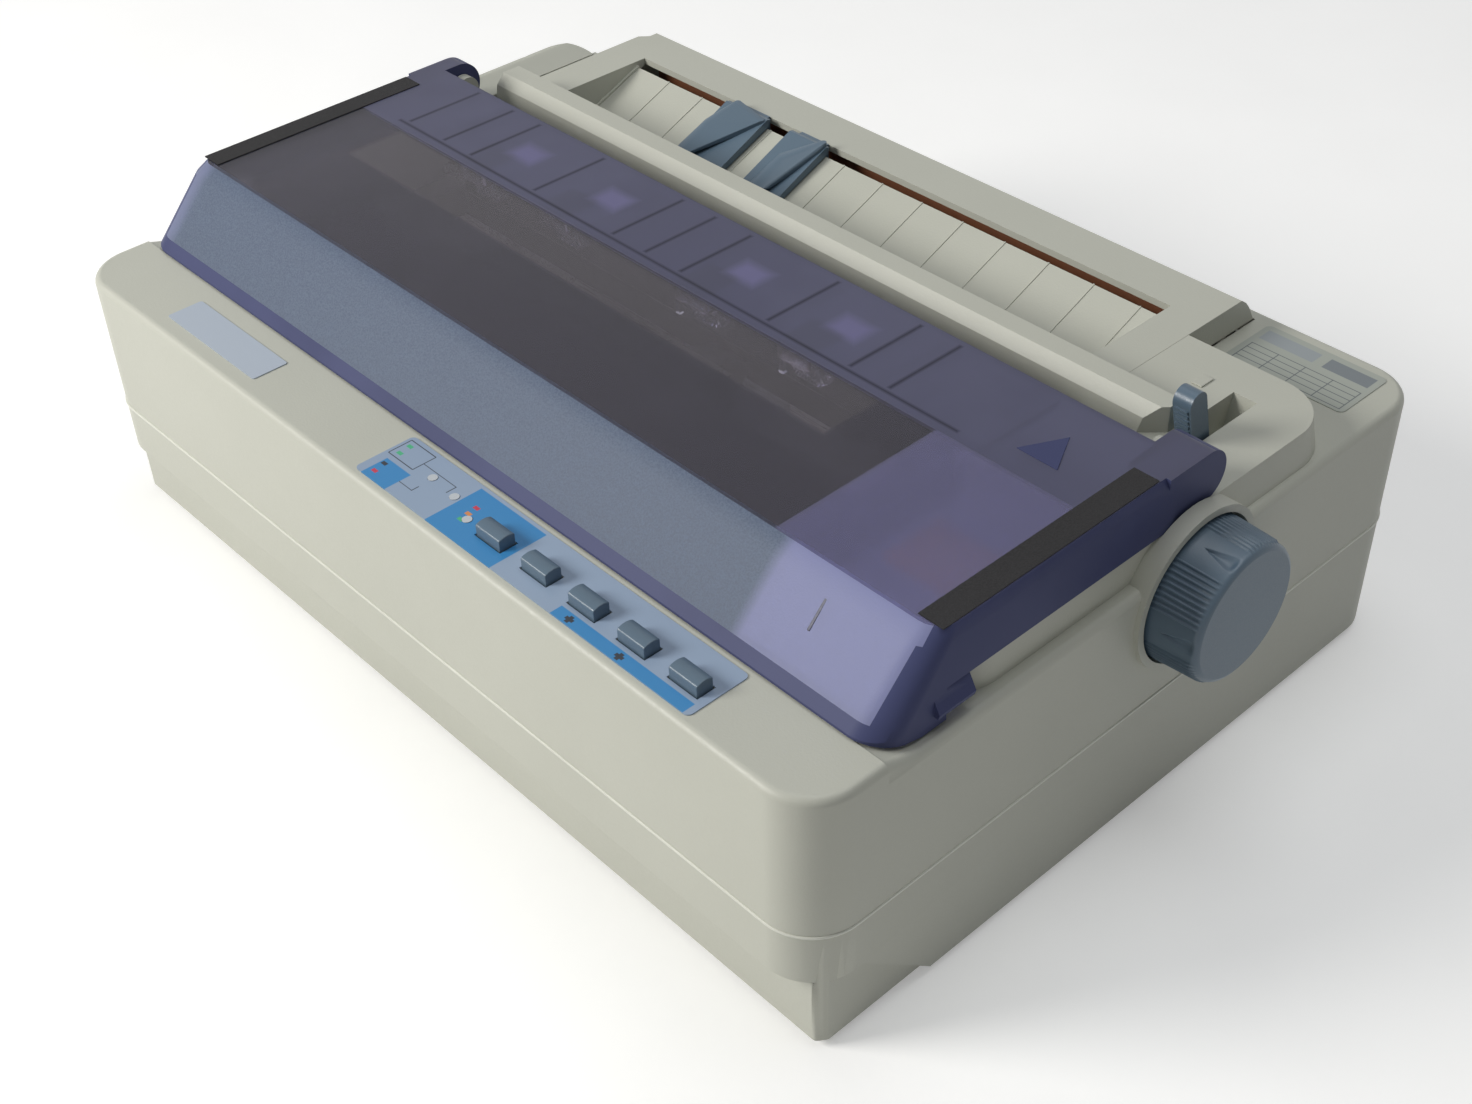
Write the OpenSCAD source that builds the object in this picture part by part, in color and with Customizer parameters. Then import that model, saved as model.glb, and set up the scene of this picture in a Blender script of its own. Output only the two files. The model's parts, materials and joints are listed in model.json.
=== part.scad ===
// Desktop dot matrix printer with a smoked access lid, a hinged sheet guide cover and a
// full paper, ribbon and print head mechanism. Millimetres, +Z up, the front faces -Y.
// The origin is on the desk, under the centre of the box that holds the whole machine.

/* [Case] */
// Width of the case without the platen knob
body_w = 420; // [412:1:430]
// Depth of the case
body_d = 312; // [310:1:320]
// Height of the joint between lower and upper case
seam_z = 53; // [50:1:56]
// Height of the narrow ledge along the sides and of the label deck
ledge_z = 107; // [106:0.5:108]
// Height of the flat front deck that carries the buttons
deck_z = 112; // [111.5:0.5:113]
// Height of the plateau beside and behind the lid
rail_z = 120; // [119:0.5:120.5]
// Wall thickness of the case mouldings
wall = 2.6; // [2.2:0.1:3]
// Height of the rubber feet
foot_h = 3; // [2:0.5:3]

/* [Lid] */
// Height of the flat top of the access lid
lid_top = 141; // [140.5:0.5:143]
// Wall thickness of the lid moulding
lid_wall = 2.5; // [2:0.1:3]
// Height of the lid hinge axis
lid_axis_z = 131; // [130.8:0.1:131.5]

/* [Platen] */
// Radius of the rubber platen
platen_r = 15.16; // [14.8:0.02:15.3]
// Length of the rubber platen
platen_len = 288; // [270:1:288]
// Height of the platen axis
platen_z = 93.4; // [93:0.1:94]
// Radius of the platen knob at its base
knob_r = 27.3; // [26:0.1:27.5]
// How far the platen knob stands out from the case side
knob_out = 21; // [18:0.5:24]

/* [Controls] */
// Number of push buttons on the front deck
buttons = 5; // [5]
// Distance between neighbouring push buttons
button_pitch = 24.1; // [20:0.1:24.5]
// Length of a push button cap
button_len = 13; // [11:0.5:14]
// Travel of a push button
button_travel = 1.5; // [1:0.1:1.6]

/* [Hidden] */
$fn = 64;
eps = 0.02;
hx = body_w / 2;
hy = body_d / 2;
case_x = -knob_out / 2;
corner_r = 20;
edge_r = 3;
rail_x = 204;
rail_y0 = -92;
rail_y1 = 106;
rail_corner = 22;
rail_flare = 2.7;
cheek_z = rail_z + 4.5;
cheek_x0 = -197;
cheek_x1 = -160;
cheek_y0 = 40;
cheek_y1 = 104;
cheek_r = 17;
ramp_y0 = -124;
ramp_y1 = -106;
ramp_set = 0.3;
platen_y = 21;
platen_x = -27;

// case screws, posts and feet
screw_spots = [[-192, -128], [192, -128], [-192, 132], [192, 132]];
foot_spots = [[-168, -118], [168, -118], [-168, 122], [168, 122]];
post_spots = [[-166, -46], [110, -46], [-166, 108], [110, 108]];
screw_r = 1.45;
screw_head_r = 3.4;
head_z = 13;

// openings of the upper case
well_x0 = -196;
well_x1 = 133;
well_y0 = -116;
well_y1 = 43;
shelf_z = 104;
shelf_x1 = 196;
shelf_y1 = 12;
hatch_x0 = -197;
hatch_x1 = 139.8;
hatch_rear_y1 = 149.5;

// knob collar on the right side
collar_r = 31;
collar_in_r = 28.2;
collar_x = hx + 2;
knob_base_x = hx - 1.4;

// lid
lid_x = 204.5;
lid_y0 = -124.5;
lid_y1 = 21;
lid_skirt_z = deck_z + 0.5;
lid_side_z = rail_z + 0.5;
lid_foot_z = ledge_z + 0.8;
lid_flange = 1;
lid_axis_y = 28.5;
ear_r = 10;
ear_in = 188;
ear_set = 7.5;
lug_x0 = 183;
lug_x1 = 187.5;
lug_r = 5.5;
lid_pin_r = 2.5;
run = 0.06;
roller_y = -12;
roller_z = 125;
roller_spots = [-121, -69, 11.4, 65];

// sheet guide cover
cover_z = rail_z - 0.3;
cover_t = 2.8;
cover_y0 = 62.5;
cover_y1 = 148.5;
cover_split_y = 106.7;
cover_axis_y = 143;
cover_axis_z = 110.2;
cover_foot_z = ledge_z + 0.5;
hood_back = [[138.9, cover_z], [142, 117.4], [144.5, 114.4], [147, 110.1], [cover_y1, cover_foot_z]];
hood_t = 2.4;
barrel_r = 3.2;
cover_pin_r = 1.6;
barrel_w = 8;
lug_w = 4;
tray_x0 = -177;
tray_x1 = 122.8;
tray_y1 = 113.1;
tray_z1 = 116.8;
tray_drop = 0.41;
tray_t = 2.2;
slot_y1 = 117.6;
rib_pitch = 22.3;
bar_top = rail_z + 10.5;
rear_y0 = cover_split_y + 0.8;
cover_lug_spots = [tray_x1 + barrel_w, tray_x0 - barrel_w - lug_w];

// side frames and paper drive
frame_l = -178;
frame_r = 120;
frame_t = 2;
plate_z = 20;
gear_x = 124.6;
gear_w = 6;
gear_m = 1;
platen_teeth = 40;
idler_teeth = 30;
pinion_teeth = 12;
link_teeth = 24;
tractor_teeth = 32;
idler_dir = -60;
pinion_dir = -110;
idler_at = [platen_y, platen_z]
    + (platen_teeth + idler_teeth) / 2 * gear_m * [cos(idler_dir), sin(idler_dir)];
pinion_at = idler_at
    + (idler_teeth + pinion_teeth) / 2 * gear_m * [cos(pinion_dir), sin(pinion_dir)];
tractor_at = [92, 60];
link_a = (idler_teeth + link_teeth) / 2 * gear_m;
link_b = (link_teeth + tractor_teeth) / 2 * gear_m;
link_c = norm(tractor_at - idler_at);
link_base = atan2(tractor_at[1] - idler_at[1], tractor_at[0] - idler_at[0]);
link_dir = link_base - acos((link_a * link_a + link_c * link_c - link_b * link_b) / (2 * link_a * link_c));
link_at = idler_at + link_a * [cos(link_dir), sin(link_dir)];
link_to_tractor = atan2(tractor_at[1] - link_at[1], tractor_at[0] - link_at[0]);
platen_phase = idler_dir;
idler_phase = mesh_phase(platen_teeth, platen_phase, idler_dir, idler_teeth);
pinion_phase = mesh_phase(idler_teeth, idler_phase, pinion_dir, pinion_teeth);
link_phase = mesh_phase(idler_teeth, idler_phase, link_dir, link_teeth);
tractor_phase = mesh_phase(link_teeth, link_phase, link_to_tractor, tractor_teeth);

// tractors
pin_pitch = 12.7;
wheel_pins = 6;
wheel_r = pin_pitch * wheel_pins / (2 * PI);
wheel_w = 5;
tractor_w = 10;
square_w = 6;
rod_at = [112, 60];
rod_r = 3;
tractor_gap = 228.6;
door_z = 75.5;

// carriage
slide_y = -22;
slide_z = 66;
slide_r = 5;
carriage_x = 5;
carriage_w = 44;
belt_y = -2;
belt_z = 44;
belt_h = 5;
belt_t = 1.2;
pulley_r = 6;
motor_pulley_x = -152;
idler_pulley_x = 104;
motor_r = 20;
nose_y = 3.2;

// ribbon cartridge
ribbon_x0 = -175;
ribbon_x1 = 119;
arm_w = 12;
ribbon_y0 = -98;
ribbon_y1 = -38;
ribbon_z0 = 92;
ribbon_z1 = 110;
spool_at = [-120, -70];

// release lever
lever_x = 174.2;
lever_w = 7.4;
lever_at = [68, 80];
lever_tip = [53.4, 136.2];
lever_pin_r = 2.5;

// front deck
board_z = 99;
board_t = 1.6;
switch_top = 104.6;
board_spots = [[-10, -128], [100, -126], [152, -128]];
button_x0 = 47.6;
button_y = -141.4;
button_d = 6.6;
cap_top = 117.4;
overlay_x0 = -19;
overlay_x1 = 154.5;
overlay_y0 = -153;
overlay_y1 = -126.7;
overlay_t = 0.4;
lamp_spots = [[5.6, -136.5], [19.5, -137.6], [32.5, -142]];

// back panel
inlet_x = 152;
port_x = -60;
switch_x = 104;
panel_z = 24;

// Angle of a gear's first tooth so that it meshes with a neighbour in direction dir.
function mesh_phase(n1, phase1, dir, n2) =
    let (step = 360 / n1, off = phase1 - dir, slip = off - step * round(off / step))
    dir + 180 - slip * n1 / n2 - 180 / n2;

// Height of the tray's top face at depth y.
function tray_z(y) = tray_z1 - tray_drop * (tray_y1 - y);

// Moves case coordinates to the machine's own frame.
module at_case() translate([case_x, 0, 0]) children();

module box(x0, x1, y0, y1, z0, z1) translate([x0, y0, z0]) cube([x1 - x0, y1 - y0, z1 - z0]);

// Extrudes a drawing of the Y-Z plane along X.
module along_x(x0, x1) translate([x0, 0, 0]) rotate([90, 0, 90]) linear_extrude(x1 - x0) children();

// Extrudes a drawing of the X-Z plane along Y.
module along_y(y0, y1) translate([0, y1, 0]) rotate([90, 0, 0]) linear_extrude(y1 - y0) children();

// A round bar along X through the point at = [y, z].
module rod_x(x0, x1, at, r) along_x(x0, x1) translate(at) circle(r);

module rounded_plan(x0, x1, y0, y1, r) {
    for (x = [x0 + r, x1 - r], y = [y0 + r, y1 - r]) translate([x, y]) circle(r);
    translate([x0 + r, y0]) square([x1 - x0 - 2 * r, y1 - y0]);
    translate([x0, y0 + r]) square([x1 - x0, y1 - y0 - 2 * r]);
}

module prism(x0, x1, y0, y1, z0, z1, r)
    translate([0, 0, z0]) linear_extrude(z1 - z0) rounded_plan(x0, x1, y0, y1, r);

// Half section of a slab whose top edge is rolled over.
module rolled_half(half, h, roll) {
    square([half - roll, h]);
    square([half, h - roll]);
    translate([half - roll, h - roll]) circle(roll);
}

// A slab with round plan corners and a rolled top edge.
module soft_slab(x0, x1, y0, y1, z0, z1, r, roll) {
    cx = (x0 + x1) / 2;
    cy = (y0 + y1) / 2;
    wx = (x1 - x0) / 2;
    wy = (y1 - y0) / 2;
    h = z1 - z0;
    translate([cx, cy, z0]) {
        for (sx = [-1, 1], sy = [-1, 1]) translate([sx * (wx - r), sy * (wy - r), 0])
            rotate_extrude() rolled_half(r, h, roll);
        for (a = [0, 180]) rotate([0, 0, a]) {
            translate([0, wy - r, 0]) rotate([90, 0, 0])
                linear_extrude(2 * (wy - r)) rolled_half(wx, h, roll);
            translate([-(wx - r), 0, 0]) rotate([90, 0, 90])
                linear_extrude(2 * (wx - r)) rolled_half(wy, h, roll);
        }
    }
}

module gear_2d(teeth, phase) {
    r = teeth * gear_m / 2;
    pitch = 360 / teeth;
    root = r - 1.25 * gear_m;
    tip = r + 0.85 * gear_m;
    rotate(phase) polygon([for (i = [0:teeth - 1], k = [[root, -0.34], [r, -0.225], [tip, -0.1],
            [tip, 0.1], [r, 0.225], [root, 0.34]])
        k[0] * [cos((i + k[1]) * pitch), sin((i + k[1]) * pitch)]]);
}

module gear(teeth, at, phase, bore) along_x(gear_x, gear_x + gear_w) translate(at) difference() {
    gear_2d(teeth, phase);
    circle(bore);
}

module at_spots(spots) for (s = spots) translate([s[0], s[1], 0]) children();

// ---------------------------------------------------------------- case

// Material taken away below the band so that the front stands on a set-back plinth.
module plinth_cut() {
    band_z = 32;
    difference() {
        along_x(-hx - 1, hx + 1) polygon([[-hy - 1, -1], [-hy - 1, band_z], [-133, band_z], [-97, -1]]);
        prism(-hx + 2.5, hx - 2.5, -hy + 6.5, hy + 60, -2, band_z + 2, 4);
    }
}

module lower_case() color([0.76, 0.76, 0.70]) at_case() difference() {
    union() {
        difference() {
            prism(-hx, hx, -hy, hy, foot_h, seam_z, corner_r);
            plinth_cut();
            intersection() {
                prism(-hx + wall, hx - wall, -hy + wall, hy - wall, foot_h + wall, seam_z + 1,
                    corner_r - wall);
                union() {
                    box(-hx, hx, -hy, hy, 32 + wall, seam_z + 1);
                    prism(-hx + 2.5 + wall, hx - 2.5 - wall, -hy + 6.5 + wall, hy, 0, seam_z, 2);
                }
            }
        }
        at_spots(screw_spots) translate([0, 0, foot_h + 1]) cylinder(h = seam_z - foot_h - 1, r = 6.5);
        at_spots(post_spots) translate([0, 0, foot_h + 1]) cylinder(h = plate_z - foot_h - 1, r = 5);
    }
    at_spots(screw_spots) {
        translate([0, 0, -1]) cylinder(h = head_z + 1, r = screw_head_r + 0.4);
        cylinder(h = seam_z + 1, r = screw_r + 0.4);
    }
    at_spots(post_spots) translate([0, 0, plate_z - 9]) cylinder(h = 10, r = screw_r + 0.05);
    box(inlet_x - 14, inlet_x + 14, hy - 4, hy + 1, panel_z - 10, panel_z + 10);
    box(port_x - 32, port_x + 32, hy - 4, hy + 1, panel_z - 9, panel_z + 9);
    box(switch_x - 11, switch_x + 11, hy - 4, hy + 1, panel_z - 8, panel_z + 8);
    for (i = [0:11]) box(-170 + i * 7, -166.5 + i * 7, hy - 4, hy + 1, 14, 42);
}

module feet() color([0.12, 0.12, 0.12]) at_case() at_spots(foot_spots) cylinder(h = foot_h, r = 9);

// A screw with a hexagon socket; its head sits above z = 0 and its shank runs down.
module screw(shank) difference() {
    union() {
        cylinder(h = 3, r = screw_head_r);
        translate([0, 0, -shank]) cylinder(h = shank + eps, r = screw_r);
    }
    translate([0, 0, 1.6]) cylinder(h = 2, r = 1.6, $fn = 6);
}

module case_screws() color([0.7, 0.7, 0.72]) at_case() {
    at_spots(screw_spots) translate([0, 0, head_z]) mirror([0, 0, 1]) screw(52);
    at_spots(post_spots) translate([0, 0, plate_z + 2]) screw(10);
}

module case_outer() {
    roll_z = ledge_z - edge_r - 4;
    prism(-hx, hx, -hy, hy, seam_z, roll_z + 1, corner_r);
    soft_slab(-hx, hx, -hy, hy, roll_z, ledge_z, corner_r, edge_r);
    intersection() {
        soft_slab(-hx, hx, -hy, hy, roll_z, deck_z, corner_r, edge_r);
        box(-hx - 1, hx + 1, -hy - 1, ramp_y0, roll_z, deck_z + 1);
    }
    // the ramp starts just inside the deck and ends just under the ledge
    start = [ramp_y0 - 0.8, deck_z - 0.05];
    end = [ramp_y1, ledge_z - 0.8];
    reach = norm(end - start);
    translate([0, start[0], start[1]]) rotate([atan2(end[1] - start[1], end[0] - start[0]), 0, 0])
        translate([0, reach, -14]) rotate([90, 0, 0]) linear_extrude(reach) {
            rolled_half(hx - ramp_set, 14, edge_r);
            mirror([1, 0]) rolled_half(hx - ramp_set, 14, edge_r);
        }
    prism(-rail_x, rail_x, rail_y0, rail_y1, ledge_z - 10, rail_z, rail_corner);
    plateau_foot();
    cheek(0, ledge_z - 10);
    difference() {
        rod_x(200, collar_x, [platen_y, platen_z], collar_r);
        box(199, rail_x + 1.4, -20, 60, rail_z, 130);
    }
}

// The plateau's side and rear walls behind the knob lean out towards their foot.
module plateau_foot() {
    foot_z = ledge_z - 1;
    along_y(36, rail_y1 - rail_corner)
        polygon([[150, foot_z], [150, rail_z], [rail_x, rail_z], [rail_x + rail_flare, foot_z]]);
    translate([rail_x - rail_corner, rail_y1 - rail_corner, foot_z])
        cylinder(h = rail_z - foot_z, r1 = rail_corner + rail_flare, r2 = rail_corner);
    along_x(hatch_x1 - 5, rail_x - rail_corner)
        polygon([[90, foot_z], [90, rail_z], [rail_y1, rail_z], [rail_y1 + rail_flare, foot_z]]);
}

// The left end of the plateau: it reaches the outer face of the case and rises towards it.
module cheek(inset, z0) intersection() {
    union() {
        prism(-hx + 0.1 + inset, cheek_x1, cheek_y0 + inset, 80, z0, cheek_z, 8 - inset);
        prism(-hx + 0.1 + inset, cheek_x1, 60, cheek_y1 - inset, z0, cheek_z, cheek_r - inset);
    }
    along_y(cheek_y0, cheek_y1) polygon([[-hx, z0], [-hx, cheek_z - inset], [-hx + 3, cheek_z - inset],
        [cheek_x0, rail_z - inset], [cheek_x1, rail_z - inset], [cheek_x1, z0]]);
}

module case_hollow() {
    prism(-hx + wall, hx - wall, -hy + wall, hy - wall, seam_z - 1, ledge_z - wall, corner_r - wall);
    intersection() {
        prism(-hx + wall, hx - wall, -hy + wall, hy, seam_z - 1, deck_z - wall, corner_r - wall);
        box(-hx, hx, -hy, ramp_y0 - 0.5, seam_z - 1, deck_z);
    }
    prism(-rail_x + wall, rail_x - wall, rail_y0 + wall, rail_y1 - wall, ledge_z - 12, rail_z - wall,
        rail_corner - wall);
    cheek(wall, ledge_z - 12);
    rod_x(199, 204, [platen_y, platen_z], collar_in_r);
}

// Walls inside the case top: around the well, the shelf beside the mechanism and the lever lugs.
module case_inner() {
    t = wall;
    box(well_x0 - t, well_x0, rail_y0 + t, 12, 78, rail_z - 1);
    box(well_x0 - t, shelf_x1 + t, well_y0 - t, well_y0, 84, ledge_z - 1);
    box(well_x0 - t, well_x0, well_y0 - t, rail_y0 + t + 1, 78, ledge_z - 1);
    box(well_x1, shelf_x1 + t, well_y0 - t, shelf_y1 + t, shelf_z - t, shelf_z);
    box(well_x1, shelf_x1 + t, shelf_y1, shelf_y1 + t, shelf_z - t, rail_z - 1);
    box(shelf_x1, shelf_x1 + t, rail_y0 + t, shelf_y1 + t, shelf_z - t, rail_z - 1);
    box(shelf_x1, shelf_x1 + t, well_y0 - t, rail_y0 + t + 1, shelf_z - t, ledge_z - 1);
    for (x = [hatch_x0 - t, hatch_x1]) box(x, x + t, well_y1 - 1, cover_split_y, 100, rail_z - 1);
    for (x = [lever_x - 2.2 - t, lever_x + lever_w + 2.2])
        along_x(x, x + t) {
            translate(lever_at) circle(7);
            translate([lever_at[0] - 7, lever_at[1]]) square([14, rail_z - 1 - lever_at[1]]);
        }
    // body of the pocket behind the lever
    along_x(lever_x - 1.2 - t, lever_x + lever_w + 1.2 + t)
        polygon([[71.4, 103.4], [71.4, rail_z - 1], [90.6, rail_z - 1], [90.6, 103.4]]);
    at_spots(screw_spots) translate([0, 0, seam_z]) cylinder(h = 34, r = 6.5);
    for (s = screw_spots) {
        side = sign(s[0]);
        box(min(s[0], side * (hx - 2)), max(s[0], side * (hx - 2)), s[1] - 1.5, s[1] + 1.5, seam_z, 84);
    }
    at_spots(board_spots) {
        translate([0, 0, board_z + board_t]) cylinder(h = deck_z - 1 - board_z - board_t, r = 3);
        translate([0, 0, board_z - 1]) cylinder(h = 4, r = 1.5);
    }
}

// A round bar at each end of the lid axis; the left one sits further out.
module lid_pins(x, half, r) for (mid = [-x - ear_set, x])
    rod_x(mid - half, mid + half, [lid_axis_y, lid_axis_z], r);

module lid_lugs() for (x0 = [-lug_x1 - ear_set, lug_x0]) {
    along_x(x0, x0 + lug_x1 - lug_x0) {
        translate([lid_axis_y, lid_axis_z]) circle(lug_r);
        translate([lid_axis_y - lug_r, rail_z - 1]) square([2 * lug_r, lid_axis_z - rail_z + 1]);
    }
}

// A hinge lug of the rear cover, hidden under its plate and carried by the back wall.
module cover_lug(x0) along_x(x0, x0 + lug_w) {
    translate([cover_axis_y, cover_axis_z]) circle(barrel_r);
    polygon([[cover_axis_y - barrel_r, cover_axis_z], [cover_axis_y - barrel_r, 94], [hy - wall + 1, 94],
        [hy - wall + 1, 97], [cover_axis_y + 2.2, 101], [cover_axis_y + 2.2, cover_axis_z]]);
}

module cover_lugs() for (x = cover_lug_spots) cover_lug(x);

module upper_case() color([0.78, 0.78, 0.72]) at_case() difference() {
    union() {
        difference() {
            case_outer();
            case_hollow();
            box(hatch_x0, hatch_x1, cover_split_y, hatch_rear_y1, 90, rail_z + 5);
        }
        case_inner();
        lid_lugs();
        cover_lugs();
    }
    // well under the lid, with a full-height plateau left at its rear left corner
    box(well_x0, well_x1, well_y0, 10, 60, rail_z + 5);
    box(-180, well_x1, 9, well_y1 + 1, 60, rail_z + 5);
    box(well_x1 - 1, shelf_x1, well_y0, shelf_y1, shelf_z, rail_z + 5);
    // hatch under the sheet guide cover
    box(hatch_x0, hatch_x1, well_y1, cover_split_y + 0.5, 90, rail_z + 5);
    // slot of the release lever, with a pocket behind it whose rear wall slopes
    along_x(lever_x - 1.2, lever_x + lever_w + 1.2)
        polygon([[50.6, rail_z + 1], [50.6, 105], [73, 105], [73, 106.2], [84.2, 106.2], [88.2, rail_z + 1]]);
    // push buttons and status lamps
    for (i = [0:buttons - 1]) translate([button_x0 + i * button_pitch, button_y, 100])
        box(-button_len / 2 - 0.4, button_len / 2 + 0.4, -button_d / 2 - 0.4, button_d / 2 + 0.4, 0, 20);
    at_spots(lamp_spots) translate([0, 0, 100]) cylinder(h = 20, r = 2);
    // knob recess and shaft hole
    rod_x(206.5, hx + 5, [platen_y, platen_z], collar_in_r);
    rod_x(190, hx + 5, [platen_y, platen_z], 6);
    // fanfold paper mouth in the back
    box(-166, 106, hy - 4, hy + 1, 64, 86);
    // pivots and screws
    lid_pins(185.25, 3, lid_pin_r + eps);
    for (x = cover_lug_spots) rod_x(x - 1, x + lug_w + 1, [cover_axis_y, cover_axis_z], cover_pin_r + eps);
    rod_x(lever_x - 8, lever_x + lever_w + 8, lever_at, lever_pin_r + eps);
    at_spots(screw_spots) translate([0, 0, seam_z - 1]) cylinder(h = 16, r = screw_r + 0.05);
}

module pivot_pins() color([0.7, 0.7, 0.72]) at_case() {
    lid_pins(187.4, 3.4, lid_pin_r);
    rod_x(tray_x1 - 1, tray_x1 + 12, [cover_axis_y, cover_axis_z], cover_pin_r);
    rod_x(tray_x0 - 12, tray_x0 + 1, [cover_axis_y, cover_axis_z], cover_pin_r);
    rod_x(lever_x - 4.6, lever_x + lever_w + 4.6, lever_at, lever_pin_r);
}

// ---------------------------------------------------------------- lid

module lid_form(inset) {
    x = lid_x - inset;
    y0 = lid_y0 + inset;
    y1 = lid_y1 + (inset > 0 ? 1 : 0);
    top = lid_top - inset;
    foot = x + lid_flange;
    hull() {
        prism(-foot, foot, y0, y1, ledge_z - inset, lid_skirt_z + 1, 12 - inset, $fn = 32);
        prism(-x, x, y0 + 3, y1, lid_skirt_z + 3, lid_skirt_z + 4, 11 - inset, $fn = 32);
        prism(-x, x, y0 + 22, y1, top - 5, top - 4, 10 - inset, $fn = 32);
        prism(-x + 2, x - 2, y0 + 28, y1, top - 1, top, 8 - inset, $fn = 32);
    }
}

module ear_profile(r) {
    translate([lid_axis_y, lid_axis_z]) circle(r);
    translate([lid_y1 - 13, lid_axis_z - r]) square([lid_axis_y - lid_y1 + 13, 2 * r]);
}

module access_lid() color([0.45, 0.42, 0.66, 0.6]) at_case() difference() {
    union() {
        difference() {
            lid_form(0);
            lid_form(lid_wall);
            box(-lid_x - 2, lid_x + 2, rail_y0 - 3, lid_y1 + 1, 100, lid_side_z);
            // the front skirt follows the deck and the ramp behind it
            along_x(-lid_x - 2, lid_x + 2) polygon([[lid_y0 - 1, 100], [lid_y0 - 1, lid_skirt_z],
                [ramp_y0 + 0.5, lid_skirt_z], [ramp_y1 + 0.5, lid_foot_z], [rail_y0 - 2, lid_foot_z],
                [rail_y0 - 2, 100]]);
            box(-lid_x - 1, lid_x + 1, lid_y1 - 2, lid_y1 + 1, 100, lid_top - lid_wall);
        }
        for (s = [-1, 1]) {
            e0 = s > 0 ? ear_in : -lid_x;
            e1 = s > 0 ? lid_x : -ear_in - ear_set;
            difference() {
                along_x(e0, e1) ear_profile(ear_r);
                along_x(e0 + lid_wall, e1 - lid_wall) {
                    ear_profile(ear_r - lid_wall);
                    translate([lid_y1 - 14, 110]) square([lid_axis_y - lid_y1 + 13, lid_axis_z - 110]);
                }
            }
            // finger tab on the side
            mirror([s > 0 ? 0 : 1, 0, 0]) difference() {
                along_y(-100.5, -84.5)
                    polygon([[lid_x - 1, 122], [lid_x - 1, 113], [lid_x + 2.6, 112.4], [lid_x + 3.2, 114.4]]);
                box(lid_x - 2, rail_x + 0.4, rail_y0 - 1, -80, 110, lid_side_z);
            }
        }
        for (x = [-150:50:150]) box(x, x + 1.2, -20, lid_y1 - 3, lid_top - lid_wall - 2, lid_top - 1);
    }
    lid_pins(187, 6, lid_pin_r + run);
}

module lid_strips() color([0.1, 0.1, 0.1]) at_case()
    for (x = [-202.2, 192.2]) box(x, x + 10, -94.5, 5, lid_top, lid_top + 0.4);

module roller_holders() color([0.8, 0.8, 0.9, 0.5]) at_case()
    for (x = roller_spots) difference() {
        union() {
            box(x - 8, x + 8, -22, -4, 131, lid_top - lid_wall);
            for (s = [-1, 1]) along_x(x + s * 7.2 - 0.8, x + s * 7.2 + 0.8) {
                translate([roller_y, roller_z]) circle(3);
                translate([roller_y - 3, roller_z]) square([6, 7]);
            }
        }
        rod_x(x - 9, x + 9, [roller_y, roller_z], 1 + run);
        box(x - 6.4, x + 6.4, -20, -6, 125, 137);
    }

module star_wheels() color([0.85, 0.85, 0.95, 0.6]) at_case()
    for (x = roller_spots) {
        rod_x(x - 7.8, x + 7.8, [roller_y, roller_z], 1);
        for (k = [-1.5:1:1.5]) along_x(x + k * 3 - 0.5, x + k * 3 + 0.5)
            translate([roller_y, roller_z]) {
                circle(3.6);
                for (a = [0:30:330]) rotate(a) translate([2.6, -0.5]) square([2.4, 1]);
            }
    }

// ---------------------------------------------------------------- paper covers

// Section of the bar behind the lid: a leaning front and a flat top.
module bar_section(inset) polygon([[45 + inset, rail_z], [46.2 + inset, rail_z + 6],
    [50.4 + inset * 0.5, bar_top - inset],
    [59 - inset, bar_top - inset], [59 - inset, rail_z]]);

module exit_bar() color([0.80, 0.80, 0.74]) at_case() {
    difference() {
        along_x(-194, 171.5) bar_section(0);
        along_x(-190, 139) translate([0, -eps]) bar_section(2.2);
        translate([0, 0, rail_z - 1]) linear_extrude(12) polygon([[163, 44], [172, 53], [172, 44]]);
    }
    for (y = [46, 56.4]) box(-189.4, 139.6, y, y + 2, 109, rail_z + 3);
}

module tray_plate(x0, x1) along_x(x0, x1) polygon([[cover_y0, tray_z(cover_y0)], [tray_y1, tray_z1],
    [tray_y1, tray_z1 - tray_t], [cover_y0, tray_z(cover_y0) - tray_t]]);

// Side view of the hood behind the plateau; its back slopes down to the ledge.
module hood_section() polygon(concat([[rear_y0, cover_foot_z], [rear_y0, cover_z]], hood_back));

// Side view of the space inside the hood.
module hood_space() {
    lift = [for (p = hood_back)
        [p[0] - hood_t - (p[1] > cover_z - 1 ? -0.6 : 0.3), min(p[1], cover_z - cover_t)]];
    polygon(concat([[rear_y0 - 1, 90], [rear_y0 - 1, cover_z - cover_t]], lift,
        [[cover_y1 - hood_t - 0.3, 90]]));
}

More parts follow.
